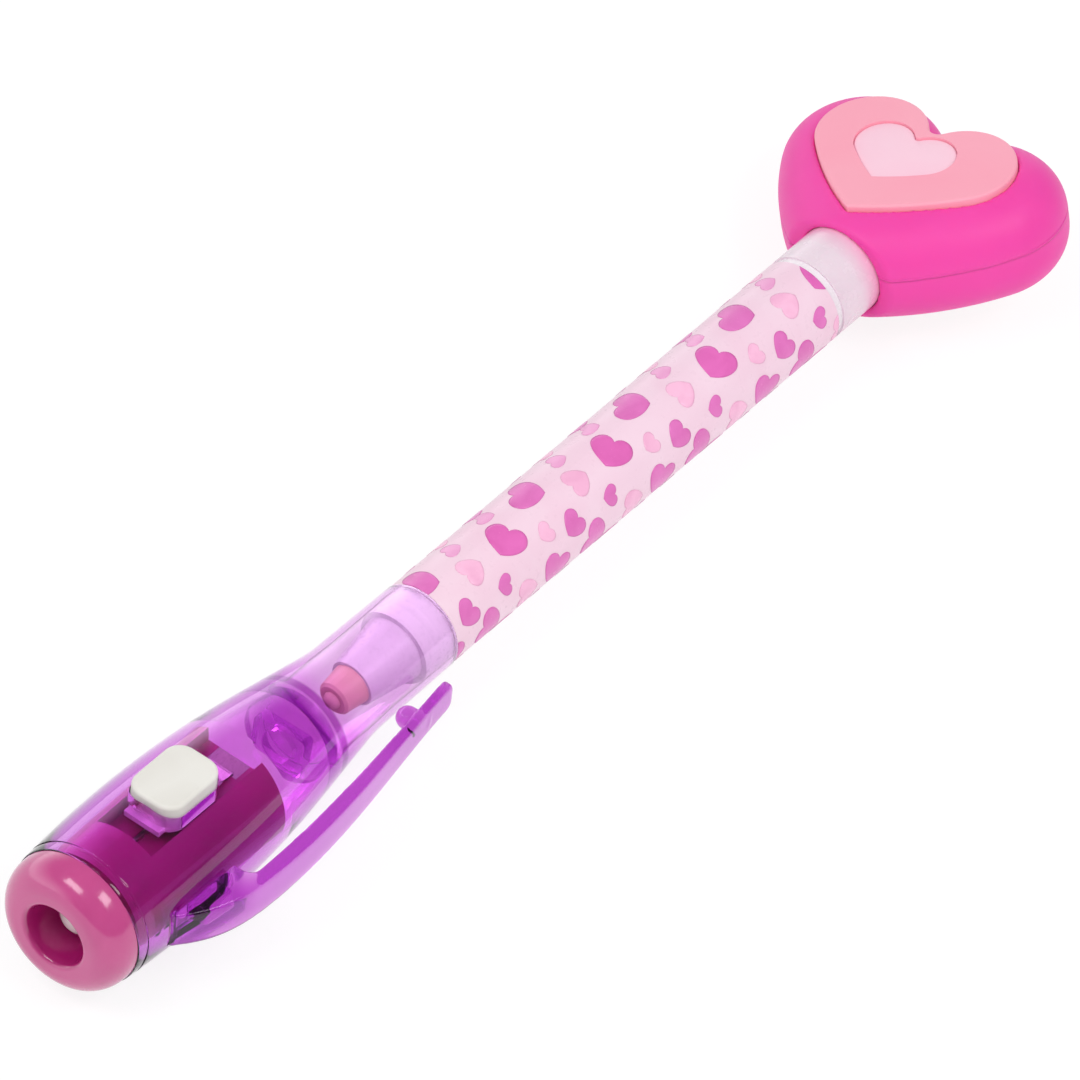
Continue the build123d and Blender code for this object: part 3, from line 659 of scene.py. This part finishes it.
# %% Geometry Nodes: a wound spring
coil, coil_keys, coil_in, coil_out = new_tree(
    "wound_spring",
    [
        ("Turns", "NodeSocketFloat"),
        ("Radius", "NodeSocketFloat"),
        ("Length", "NodeSocketFloat"),
        ("Wire", "NodeSocketFloat"),
        ("Start", "NodeSocketVector"),
        ("Finish", "NodeSocketMaterial"),
    ],
)
spiral = add(coil, "GeometryNodeCurveSpiral")
tune(spiral, {"Resolution": 48})
link(coil, coil_in.outputs["Turns"], spiral.inputs["Rotations"])
link(coil, coil_in.outputs["Radius"], spiral.inputs["Start Radius"])
link(coil, coil_in.outputs["Radius"], spiral.inputs["End Radius"])
link(coil, coil_in.outputs["Length"], spiral.inputs["Height"])
lay = add(coil, "GeometryNodeTransform")
tune(lay, {"Rotation": (math.radians(90), 0, math.radians(90))})
link(coil, spiral.outputs[0], lay.inputs["Geometry"])
link(coil, coil_in.outputs["Start"], lay.inputs["Translation"])
wire = add(coil, "GeometryNodeCurvePrimitiveCircle")
tune(wire, {"Resolution": 14})
link(coil, coil_in.outputs["Wire"], wire.inputs["Radius"])
sweep = add(coil, "GeometryNodeCurveToMesh")
tune(sweep, {"Fill Caps": True})
link(coil, lay.outputs[0], sweep.inputs["Curve"])
link(coil, wire.outputs[0], sweep.inputs["Profile Curve"])
real = add(coil, "GeometryNodeRealizeInstances")
coat = add(coil, "GeometryNodeSetMaterial")
link(coil, sweep.outputs[0], real.inputs[0])
link(coil, real.outputs[0], coat.inputs["Geometry"])
link(coil, coil_in.outputs["Finish"], coat.inputs["Material"])
link(coil, coat.outputs[0], coil_out.inputs[0])
print("tree:", coil.name, "with", len(coil.nodes), "nodes")

# %% Wind the spring
spring_start_x = cells_back_x + spring_wire / 2 + coil_seat
spring_end_x = plate_x - spring_wire / 2 - coil_seat
spring = grown(
    "contact_spring",
    bpy.data.meshes.new("spring_seed"),
    coil,
    coil_keys,
    {
        "Turns": float(spring_turns),
        "Radius": spring_radius * MM,
        "Length": (spring_end_x - spring_start_x) * MM,
        "Wire": spring_wire / 2 * MM,
        "Start": (spring_start_x * MM, 0.0, -cell_drop * MM),
        "Finish": wire_tin,
    },
    wire_tin,
)
smooth(spring.data, 50)
stand_for(spring, "battery_spring")
print("contact_spring:", len(spring.data.polygons), "faces")

# %% [markdown]
# ## Printed film
# The film is pale pink and shiny, with hearts in four tones. The print repeats along the pen, so one
# repeat is listed and Geometry Nodes set a heart on each of its points, again and again, then
# roll the flat sheet round the barrel. The film's ends cut the hearts off, and a thin body of ink closes
# them. As shapes of their own the hearts keep a clean edge at any distance.

# %% Finishes of the film and of its ink
film_pink, tree, surface, cover = moulded("film_pink", "f7d8e8", "f5d1e3", 0.26, 0.34, 0.8, 0.004, 6)
tune(surface, {"Specular IOR Level": 0.3})
dress(film_pink, "printed_sleeve")

heart_ink, tree, surface, cover = moulded("heart_ink", "ffffff", "f4e8f0", 0.2, 0.28, 0.3, 0.003, 3)
tone = add(tree, "ShaderNodeAttribute", attribute_name="tone")
tones = add(tree, "ShaderNodeValToRGB")
link(tree, tone.outputs["Fac"], tones.inputs[0])
tones.color_ramp.elements[0].position, tones.color_ramp.elements[0].color = 0.0, paint("ffc3e2")
tones.color_ramp.elements[1].position, tones.color_ramp.elements[1].color = 1.0, paint("ea72c2")
for place_on_ramp, letters in ((0.33, "f6aedb"), (0.66, "e87cc6")):
    tones.color_ramp.elements.new(place_on_ramp).color = paint(letters)
tint = add(tree, "ShaderNodeMix", data_type="RGBA", blend_type="MULTIPLY")
tint.inputs[0].default_value = 1.0
link(tree, tones.outputs[0], tint.inputs[6])
link(tree, cover.outputs["Colour"], tint.inputs[7])
link(tree, tint.outputs[2], surface.inputs["Base Color"])
tune(surface, {"Specular IOR Level": 0.3})
print("print:", film_pink.name, "and", heart_ink.name)

# %% [markdown]
# Each heart of one repeat is written as: place along the pen in millimetres, place round it in degrees
# from the top towards the clip, width in millimetres, turn in degrees, and tone from pale to deep.

# %% One repeat of the print
print_repeat = 17.4
pale, light, strong, deep = 0.0, 0.33, 0.66, 1.0
one_repeat = [
    (11.7, 17, 4.7, -24, deep),
    (0.9, -13, 4.7, -133, strong),
    (2.5, 56, 3.3, -22, strong),
    (8.4, 58, 2.4, 14, strong),
    (6.1, 18, 3.4, 175, pale),
    (16.2, 41, 2.4, -10, pale),
    (7.0, -22, 2.5, 200, light),
    (13.1, -28, 2.5, -140, light),
    (16.2, 92, 4.4, -60, strong),
    (5.3, 95, 4.4, -150, strong),
    (11.6, 93, 3.8, 180, pale),
    (0.8, 124, 2.4, 20, light),
    (8.6, 132, 4.7, 150, deep),
    (14.0, 130, 2.6, -30, strong),
    (3.6, 152, 3.2, -15, strong),
    (12.2, 172, 3.2, 100, pale),
    (16.6, 168, 3.4, 160, strong),
    (7.4, 184, 2.5, -120, light),
    (2.6, 205, 4.7, -30, deep),
    (10.2, 214, 2.6, 180, strong),
    (14.6, 222, 3.4, 20, pale),
    (6.4, 246, 3.4, -140, strong),
    (0.9, 256, 3.0, 170, pale),
    (11.4, 262, 4.5, 10, strong),
    (15.8, 272, 2.4, -30, light),
    (3.9, 288, 2.5, 30, strong),
    (8.0, 302, 3.0, 165, pale),
    (13.4, 306, 2.6, -60, strong),
]
print("one repeat:", len(one_repeat), "hearts")

# %% Shape of a printed heart
lobe_radius, lobe_aside, lobe_along, tip_along, side_bow = 0.27, 0.23, 0.13, -0.42, 0.33
side_angle = math.radians(112)


def heart_edge(steps=14):
    """Half of a heart's edge, one unit wide: a lobe from the notch, then a bowed side to the tip."""
    notch_angle = -math.asin(lobe_aside / lobe_radius)
    points = []
    for step in range(steps + 1):
        angle = notch_angle + (side_angle - notch_angle) * step / steps
        aside = lobe_aside + lobe_radius * math.sin(angle)
        points.append((lobe_along + lobe_radius * math.cos(angle), aside))
    start = Vector(points[-1])
    tangent = Vector((-math.sin(side_angle), math.cos(side_angle)))
    tip = Vector((tip_along, 0))
    bend = start + tangent * side_bow
    for step in range(1, steps + 1):
        t = step / steps
        points.append(tuple((1 - t) ** 2 * start + 2 * t * (1 - t) * bend + t**2 * tip))
    return points


def heart_patch(rings=7):
    """Flat heart, one unit wide, with its notch towards +X."""
    half = heart_edge()
    edge = half + [(along, -aside) for along, aside in reversed(half[1:-1])]
    shape = bmesh.new()
    middle = shape.verts.new((0, 0, 0))
    rows = []
    for ring in range(1, rings + 1):
        rows.append([shape.verts.new((x * ring / rings, y * ring / rings, 0)) for x, y in edge])
    for step in range(len(edge)):
        after = (step + 1) % len(edge)
        shape.faces.new((middle, rows[0][after], rows[0][step]))
        for inner, outer in zip(rows, rows[1:]):
            shape.faces.new((inner[step], inner[after], outer[after], outer[step]))
    bmesh.ops.recalc_face_normals(shape, faces=shape.faces)
    if shape.faces[0].normal.z < 0:
        bmesh.ops.reverse_faces(shape, faces=shape.faces)
    return closed(shape, bpy.data.meshes.new("heart_patch"))


print("printed heart:", 2 * len(heart_edge()) - 2, "points round its edge")

# %% Geometry Nodes: hearts rolled round the barrel
hearts, hearts_keys, hearts_in, hearts_out = new_tree(
    "rolled_print",
    [
        ("Heart", "NodeSocketObject"),
        ("Barrel Radius", "NodeSocketFloat"),
        ("Ink Lift", "NodeSocketFloat"),
        ("Finish", "NodeSocketMaterial"),
    ],
)


def read(tree, name):
    """Number stored on each point under this name."""
    node = add(tree, "GeometryNodeInputNamedAttribute", data_type="FLOAT")
    tune(node, {"Name": name})
    return node.outputs[0]


def vector(tree, x, y, z):
    """Vector put together from three sockets or numbers."""
    node = add(tree, "ShaderNodeCombineXYZ")
    for socket, value in zip(node.inputs, (x, y, z)):
        feed(tree, value, socket)
    return node.outputs[0]


stamp = add(hearts, "GeometryNodeObjectInfo")
link(hearts, hearts_in.outputs["Heart"], stamp.inputs["Object"])
points = add(hearts, "GeometryNodeMeshToPoints")
link(hearts, hearts_in.outputs["Geometry"], points.inputs["Mesh"])
copies = add(hearts, "GeometryNodeInstanceOnPoints")
link(hearts, points.outputs[0], copies.inputs["Points"])
link(hearts, stamp.outputs["Geometry"], copies.inputs["Instance"])
link(hearts, vector(hearts, 0.0, 0.0, read(hearts, "turn")), copies.inputs["Rotation"])
wide = read(hearts, "width")
link(hearts, vector(hearts, wide, wide, 1.0), copies.inputs["Scale"])
real = add(hearts, "GeometryNodeRealizeInstances")
link(hearts, copies.outputs[0], real.inputs[0])
flat = add(hearts, "ShaderNodeSeparateXYZ")
link(hearts, add(hearts, "GeometryNodeInputPosition").outputs[0], flat.inputs[0])
angle = calc(hearts, "DIVIDE", flat.outputs[1], hearts_in.outputs["Barrel Radius"])
reach = calc(hearts, "ADD", hearts_in.outputs["Barrel Radius"], hearts_in.outputs["Ink Lift"])
aside = calc(hearts, "MULTIPLY", calc(hearts, "MULTIPLY", reach, calc(hearts, "SINE", angle)), -1.0)
above = calc(hearts, "MULTIPLY", reach, calc(hearts, "COSINE", angle))
roll = add(hearts, "GeometryNodeSetPosition")
link(hearts, real.outputs[0], roll.inputs["Geometry"])
link(hearts, vector(hearts, flat.outputs[0], aside, above), roll.inputs["Position"])
turned = add(hearts, "GeometryNodeFlipFaces")
link(hearts, roll.outputs[0], turned.inputs[0])
coat = add(hearts, "GeometryNodeSetMaterial")
link(hearts, turned.outputs[0], coat.inputs["Geometry"])
link(hearts, hearts_in.outputs["Finish"], coat.inputs["Material"])
link(hearts, coat.outputs[0], hearts_out.inputs[0])
print("tree:", hearts.name, "with", len(hearts.nodes), "nodes")

# %% Spots of the print
first_repeat, last_repeat = -1, 4
spots = []
for repeat in range(first_repeat, last_repeat + 1):
    for along, round_at, width, turn, shade in one_repeat:
        x = along + repeat * print_repeat
        if -width < x < sleeve_end + width:
            arc = math.radians(round_at) * barrel_radius
            spots.append((x, arc, width, math.radians(turn), shade))
spot_mesh = bpy.data.meshes.new("print_spots")
spot_mesh.from_pydata([(x * MM, arc * MM, 0) for x, arc, *_ in spots], [], [])
for label, column, scale in (("width", 2, MM), ("turn", 3, 1.0), ("tone", 4, 1.0)):
    values = spot_mesh.attributes.new(label, "FLOAT", "POINT")
    values.data.foreach_set("value", [spot[column] * scale for spot in spots])
print("print:", len(spots), "spots for hearts")

# %% Print the film
ink_lift, ink_body, bare_edge = 0.03, 0.02, 0.02
stamp_object = bpy.data.objects.new("heart_stamp", heart_patch())
bpy.context.scene.collection.objects.link(stamp_object)
printed = grown(
    "printed_hearts",
    spot_mesh,
    hearts,
    hearts_keys,
    {
        "Heart": stamp_object,
        "Barrel Radius": barrel_radius * MM,
        "Ink Lift": ink_lift * MM,
        "Finish": heart_ink,
    },
    heart_ink,
)
bpy.data.objects.remove(stamp_object)
trim = opened(printed.data)
for edge_x, outwards in ((bare_edge, -1), (sleeve_end - bare_edge, 1)):
    bmesh.ops.bisect_plane(
        trim,
        geom=[*trim.verts, *trim.edges, *trim.faces],
        dist=1e-8,
        plane_co=(edge_x * MM, 0, 0),
        plane_no=(outwards, 0, 0),
        clear_outer=True,
    )
for face in trim.faces:
    face.smooth = True
closed(trim, printed.data)
body = printed.modifiers.new("ink body", "SOLIDIFY")
body.thickness, body.offset = ink_body * MM, -1
applied(printed)
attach(printed, "pen")
print("printed_hearts:", len(printed.data.polygons), "faces")

# %% [markdown]
# ## Soft heart
# The heart's finish is a satin pink, with light passing a little way into it. A mould line runs round
# it, too fine to be cut into the mesh, so it is a ridge in the finish, read from the height above the
# plane where the mould's halves meet. The raised heart and the pale one are the same soft plastic.

# %% Finishes of the hearts
soft_grain, soft_grain_depth, soft_swirl = 0.09, 0.012, 12
parting = 1.0
ridge_top, ridge_foot, ridge_height = 0.04, 0.26, 0.14
wander_length, wander_reach = 3.0, 0.25


def soft_plastic(name, *look):
    """Satin plastic with a very fine grain and little shine. Its look is as for a moulded one."""
    material, tree, surface, cover = moulded(name, *look, soft_grain, soft_grain_depth, soft_swirl)
    tune(surface, {"Specular IOR Level": 0.35})
    return material, tree, surface


heart_salmon, tree, surface = soft_plastic("heart_salmon", "ffacc0", "ffa6bc", 0.42, 0.54)
heart_pale, tree, surface = soft_plastic("heart_pale", "ffd4e5", "fecde0", 0.42, 0.54)
heart_pink, tree, surface = soft_plastic("heart_pink", "f749ae", "f344aa", 0.4, 0.52)
middle_plane = add(tree, "ShaderNodeMapping", vector_type="TEXTURE")
plane_up = Vector((0, math.sin(heart_turn), math.cos(heart_turn)))
tune(middle_plane, {"Location": plane_up * parting * MM, "Rotation": (-heart_turn, 0, 0)})
link(tree, place_on(tree), middle_plane.inputs["Vector"])
wander = add(tree, "ShaderNodeTexNoise")
tune(wander, {"Scale": 1 / (wander_length * MM)})
link(tree, middle_plane.outputs[0], wander.inputs["Vector"])
apart = add(tree, "ShaderNodeSeparateXYZ")
link(tree, middle_plane.outputs[0], apart.inputs[0])
drift = calc(tree, "MULTIPLY", calc(tree, "SUBTRACT", wander.outputs[0], 0.5), wander_reach * MM)
height = calc(tree, "ABSOLUTE", calc(tree, "ADD", apart.outputs[2], drift))
ridge = calc(tree, "SUBTRACT", 1.0, ramp(tree, height, ridge_top * MM, ridge_foot * MM))
bump = next(node for node in tree.nodes if node.bl_idname == "ShaderNodeBump")
ridge_bump = add(tree, "ShaderNodeBump")
tune(ridge_bump, {"Distance": ridge_height * MM})
link(tree, ridge, ridge_bump.inputs["Height"])
link(tree, bump.outputs["Normal"], ridge_bump.inputs["Normal"])
link(tree, ridge_bump.outputs["Normal"], surface.inputs["Normal"])
tune(surface, {"Subsurface Weight": 0.25, "Subsurface Radius": (0.0016, 0.0005, 0.0009)})
print("hearts:", heart_pink.name, heart_salmon.name, heart_pale.name)

# %% [markdown]
# The engineering solids of the heart and the clip have the right form, but their edges meet in lines. A
# copy of each is remeshed finely and smoothed, which is what a mould does to an edge. The clear clip
# needs the finer mesh, because light passes through its faces.


# %% Soft edges of the clip and the heart
def merged_copy(node, apart=1e-6):
    """A node's mesh as a new one, with its loose triangles joined."""
    shape = opened(frame["nodes"][node].data)
    bmesh.ops.remove_doubles(shape, verts=shape.verts, dist=apart)
    return closed(shape, bpy.data.meshes.new(node + "_copy"))


def softened(name, node, material, voxel_mm, rounds):
    """Copy of a node, remeshed finely and smoothed."""
    piece = new_piece(name, merged_copy(node), material)
    remesh = piece.modifiers.new("fine", "REMESH")
    remesh.mode = "VOXEL"
    remesh.voxel_size = voxel_mm * MM
    ease = piece.modifiers.new("ease", "SMOOTH")
    ease.factor, ease.iterations = 0.5, rounds
    mesh = applied(piece)
    for face in mesh.polygons:
        face.use_smooth = True
    mesh.materials.clear()
    mesh.materials.append(material)
    return piece


for name, node, material, voxel_mm, rounds in (
    ("clear_clip", "pocket_clip", clip_clear, 0.13, 30),
    ("soft_heart", "heart_body", heart_pink, 0.2, 12),
):
    piece = softened(name, node, material, voxel_mm, rounds)
    stand_for(piece, node)
    print(name + ":", len(piece.data.polygons), "faces")

# %% [markdown]
# The raised hearts keep the engineering model's shape. The pale ones let into them get a bevel, which
# is narrow, as the real edges are, and rounds the rim that catches the light.


# %% Raised hearts and inlaid hearts
def bevelled(name, node, material, width_mm):
    """Copy of a node with its sharp edges rounded."""
    mesh = merged_copy(node)
    shape = opened(mesh)
    bmesh.ops.dissolve_limit(shape, angle_limit=math.radians(2), verts=shape.verts, edges=shape.edges)
    piece = new_piece(name, closed(shape, mesh), material)
    bevel = piece.modifiers.new("edge", "BEVEL")
    bevel.width = width_mm * MM
    bevel.segments = 3
    bevel.limit_method = "ANGLE"
    bevel.angle_limit = math.radians(50)
    smooth(applied(piece), 40)
    return piece


inlay_bevel = 0.18
for side in ("front", "back"):
    dress(heart_salmon, side + "_raised_heart")
    inlay = bevelled(side + "_pale_heart", side + "_inlay_heart", heart_pale, inlay_bevel)
    stand_for(inlay, side + "_inlay_heart")
    print(inlay.name, len(inlay.data.polygons), "faces")

# %% [markdown]
# ## Lamp
# Behind the bezel's hole sits a round-ended lamp of milky resin, with a bright metal cup inside. Both
# are turned shapes, so their outlines are spun round the pen's axis.

# %% Lamp of milky resin
dome_steps = 16
cup_rim, cup_lip, cup_floor, cup_back = 3.2, 3.6, 4.0, 5.2
cup_mouth_radius, cup_radius, cup_floor_radius, cup_back_radius = 1.15, 1.3, 0.55, 0.6

lamp_clear, tree, surface, cover = moulded("lamp_clear", "f4e4e6", "ead6da", 0.12, 0.25, 0.8, 0.003, 3)
tune(surface, {"Transmission Weight": 0.15, "IOR": 1.52})

dome = []
for step in range(dome_steps + 1):
    angle = math.radians(90 * step / dome_steps)
    dome.append((lamp_tip_x + lamp_radius * (1 - math.cos(angle)), lamp_radius * math.sin(angle)))
flange_x = lamp_back_x - lamp_flange
lamp = turned_shape(
    "lamp_resin",
    dome
    + [
        (flange_x, lamp_radius),
        (flange_x, lamp_flange_radius),
        (lamp_back_x, lamp_flange_radius),
        (lamp_back_x, 0),
    ],
    lamp_clear,
)
stand_for(lamp, "uv_lamp")
cup = turned_shape(
    "lamp_cup",
    [
        (lamp_tip_x + cup_rim, cup_mouth_radius),
        (lamp_tip_x + cup_floor, cup_floor_radius),
        (lamp_tip_x + cup_floor, 0),
        (lamp_tip_x + cup_back, 0),
        (lamp_tip_x + cup_back, cup_back_radius),
        (lamp_tip_x + cup_lip, cup_radius),
        (lamp_tip_x + cup_rim, cup_radius),
    ],
    wire_tin,
    40,
)
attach(cup, "lamp_module")
print("lamp:", len(lamp.data.polygons) + len(cup.data.polygons), "faces")

# %% [markdown]
# ## Floor, light and camera
# The pen lies on a white table, which glows a little, so that only a faint shadow is left on it. Away
# from the pen the glow takes over, and from below the table can't be seen.

# %% Floor
floor_glow, floor_reach, floor_gap = 1.06, 6.0, 0.05
seen_glow, mirrored_glow, through_glow = 0.8, 0.6, 0.85
shadow_end, open_start = 0.2, 0.5

floor_z = cad_low.z - floor_gap * MM
corners = [(x * floor_reach, y * floor_reach, floor_z) for x, y in ((-1, -1), (1, -1), (1, 1), (-1, 1))]
floor_mesh = bpy.data.meshes.new("floor")
floor_mesh.from_pydata(corners, [], [(0, 1, 2, 3)])
floor_white, tree, surface = finish("floor_white")
tune(surface, {"Base Color": (0.97, 0.97, 0.97, 1), "Roughness": 0.9, "Specular IOR Level": 0.0})
glow = add(tree, "ShaderNodeEmission")
tune(glow, {"Strength": floor_glow})
path = add(tree, "ShaderNodeLightPath")
away = add(tree, "ShaderNodeVectorMath", operation="LENGTH")
link(tree, place_on(tree), away.inputs[0])
open_floor = ramp(tree, away.outputs["Value"], shadow_end, open_start)
near_share = calc(tree, "ADD", calc(tree, "MULTIPLY", open_floor, 1 - seen_glow), seen_glow)
seen = calc(tree, "MULTIPLY", path.outputs["Is Camera Ray"], near_share)
for kind, share in (("Is Glossy Ray", mirrored_glow), ("Is Transmission Ray", through_glow)):
    seen = calc(tree, "MAXIMUM", seen, calc(tree, "MULTIPLY", path.outputs[kind], share))
lifted = add(tree, "ShaderNodeMixShader")
link(tree, seen, lifted.inputs[0])
link(tree, surface.outputs[0], lifted.inputs[1])
link(tree, glow.outputs[0], lifted.inputs[2])
from_below = add(tree, "ShaderNodeNewGeometry").outputs["Backfacing"]
open_side = add(tree, "ShaderNodeBsdfTransparent")
one_way = add(tree, "ShaderNodeMixShader")
link(tree, from_below, one_way.inputs[0])
link(tree, lifted.outputs[0], one_way.inputs[1])
link(tree, open_side.outputs[0], one_way.inputs[2])
link(tree, one_way.outputs[0], tree.nodes["Material Output"].inputs["Surface"])
floor = new_piece("floor", floor_mesh, floor_white)
print("floor:", floor_reach * 2, "m wide")

# %% [markdown]
# The sky is plain white for the eye and weaker as a light. A shiny surface would turn milky under a white
# sky all round, so in a reflection the studio is dark, apart from a bright backdrop low behind the pen.
# What shines inside the clear cap sees a stronger glow from behind, which gives the carrier its sheen.

# %% Sky
sky_seen, sky_light, sky_inside = 1.0, 0.62, 1.5
backdrop_shine, studio_shine = 2.0, 0.1
backdrop_top, backdrop_full = 0.6, 0.15
behind_start, behind_full = 0.1, 0.5
inside_top, inside_full, inside_glow, inside_dim = 0.9, 0.5, 3.0, 0.03
wall_passes = 2.5

world = bpy.data.worlds.new("white_sky")
bpy.context.scene.world = world
world.use_nodes = True
sky = world.node_tree
background = sky.nodes["Background"]
tune(background, {"Color": (1, 1, 1, 1)})
path = add(sky, "ShaderNodeLightPath")
through = path.outputs["Is Transmission Ray"]
scattered = calc(sky, "GREATER_THAN", path.outputs["Diffuse Depth"], 0.5)
lit_inside = calc(sky, "MULTIPLY", through, scattered)
seen = calc(sky, "MAXIMUM", path.outputs["Is Camera Ray"], through)
bounced = calc(sky, "GREATER_THAN", path.outputs["Glossy Depth"], 0.5)
mirrored = calc(sky, "MULTIPLY", bounced, calc(sky, "SUBTRACT", 1.0, scattered))
seen = calc(sky, "MULTIPLY", seen, calc(sky, "SUBTRACT", 1.0, mirrored))
strength = calc(sky, "ADD", calc(sky, "MULTIPLY", seen, sky_seen - sky_light), sky_light)
direction = add(sky, "ShaderNodeSeparateXYZ")
link(sky, add(sky, "ShaderNodeTexCoord").outputs["Generated"], direction.inputs[0])
height = direction.outputs[2]
behind = ramp(sky, direction.outputs[1], behind_start, behind_full)
backdrop = calc(sky, "MULTIPLY", behind, ramp(sky, height, backdrop_top, backdrop_full))
in_cap = calc(sky, "GREATER_THAN", path.outputs["Transmission Depth"], wall_passes)
glow_inside = calc(sky, "MULTIPLY", behind, ramp(sky, height, inside_top, inside_full))
glow_inside = calc(sky, "ADD", calc(sky, "MULTIPLY", glow_inside, inside_glow), inside_dim)
backdrop = calc(sky, "MAXIMUM", backdrop, calc(sky, "MULTIPLY", in_cap, glow_inside))
shine = calc(sky, "MULTIPLY", backdrop, backdrop_shine - studio_shine)
shine = calc(sky, "ADD", shine, studio_shine - sky_light)
strength = calc(sky, "ADD", strength, calc(sky, "MULTIPLY", mirrored, shine))
strength = calc(sky, "ADD", strength, calc(sky, "MULTIPLY", lit_inside, sky_inside - sky_seen))
link(sky, strength, background.inputs["Strength"])
print("sky:", sky_light, "as a light and", sky_seen, "to the eye")

# %% [markdown]
# Two soft boxes stand above the pen, to the left and the right of the camera. The bezel mirrors them as
# two small bright windows.

# %% Soft boxes
box_away, box_width, box_depth, box_power = 0.7, 0.34, 0.22, 1.3
middle = (cad_low + cad_high) / 2
for name, towards in (("left_box", (-0.55, 0.17, 0.82)), ("right_box", (0.06, -0.57, 0.82))):
    lamp_data = bpy.data.lights.new(name, "AREA")
    lamp_data.shape = "RECTANGLE"
    lamp_data.size, lamp_data.size_y, lamp_data.energy = box_width, box_depth, box_power
    box = bpy.data.objects.new(name, lamp_data)
    bpy.context.scene.collection.objects.link(box)
    box.location = middle + Vector(towards).normalized() * box_away
    box.rotation_euler = Vector(towards).to_track_quat("Z", "Y").to_euler()
    print(name, "at", [round(value, 2) for value in box.location], "m")

# %% [markdown]
# In the photograph, lines that run away from the eye hardly meet, so the camera stands far off with a
# long lens. Its directions were worked out from the round ends of the cap and the barrel, which show as
# ellipses. A small shift of the aim then sets the pen where it lies in the picture.

# %% Camera
to_camera = Vector((-0.5853, -0.3869, 0.7126)).normalized()
camera_up = Vector((0.5245, 0.4896, 0.6966))
camera_right = camera_up.cross(to_camera).normalized()
camera_up = to_camera.cross(camera_right)
picture_middle = Vector((18.85, -1.09, -0.59))
shift_right, shift_up = 0.175, 0.149
looked_at = picture_middle * MM - (shift_right * camera_right + shift_up * camera_up) * MM
frame_width, distance = 110.43 * MM, 4.6
camera_data = bpy.data.cameras.new("camera")
camera_data.sensor_width = 36
camera_data.lens = camera_data.sensor_width * distance / frame_width
camera = bpy.data.objects.new("camera", camera_data)
bpy.context.scene.collection.objects.link(camera)
turn = Matrix((camera_right, camera_up, to_camera)).transposed().to_4x4()
camera.matrix_world = Matrix.Translation(looked_at + to_camera * distance) @ turn
bpy.context.scene.camera = camera
bpy.context.scene.view_settings.view_transform = "Standard"
print("camera: lens", round(camera_data.lens), "mm at", distance, "m")
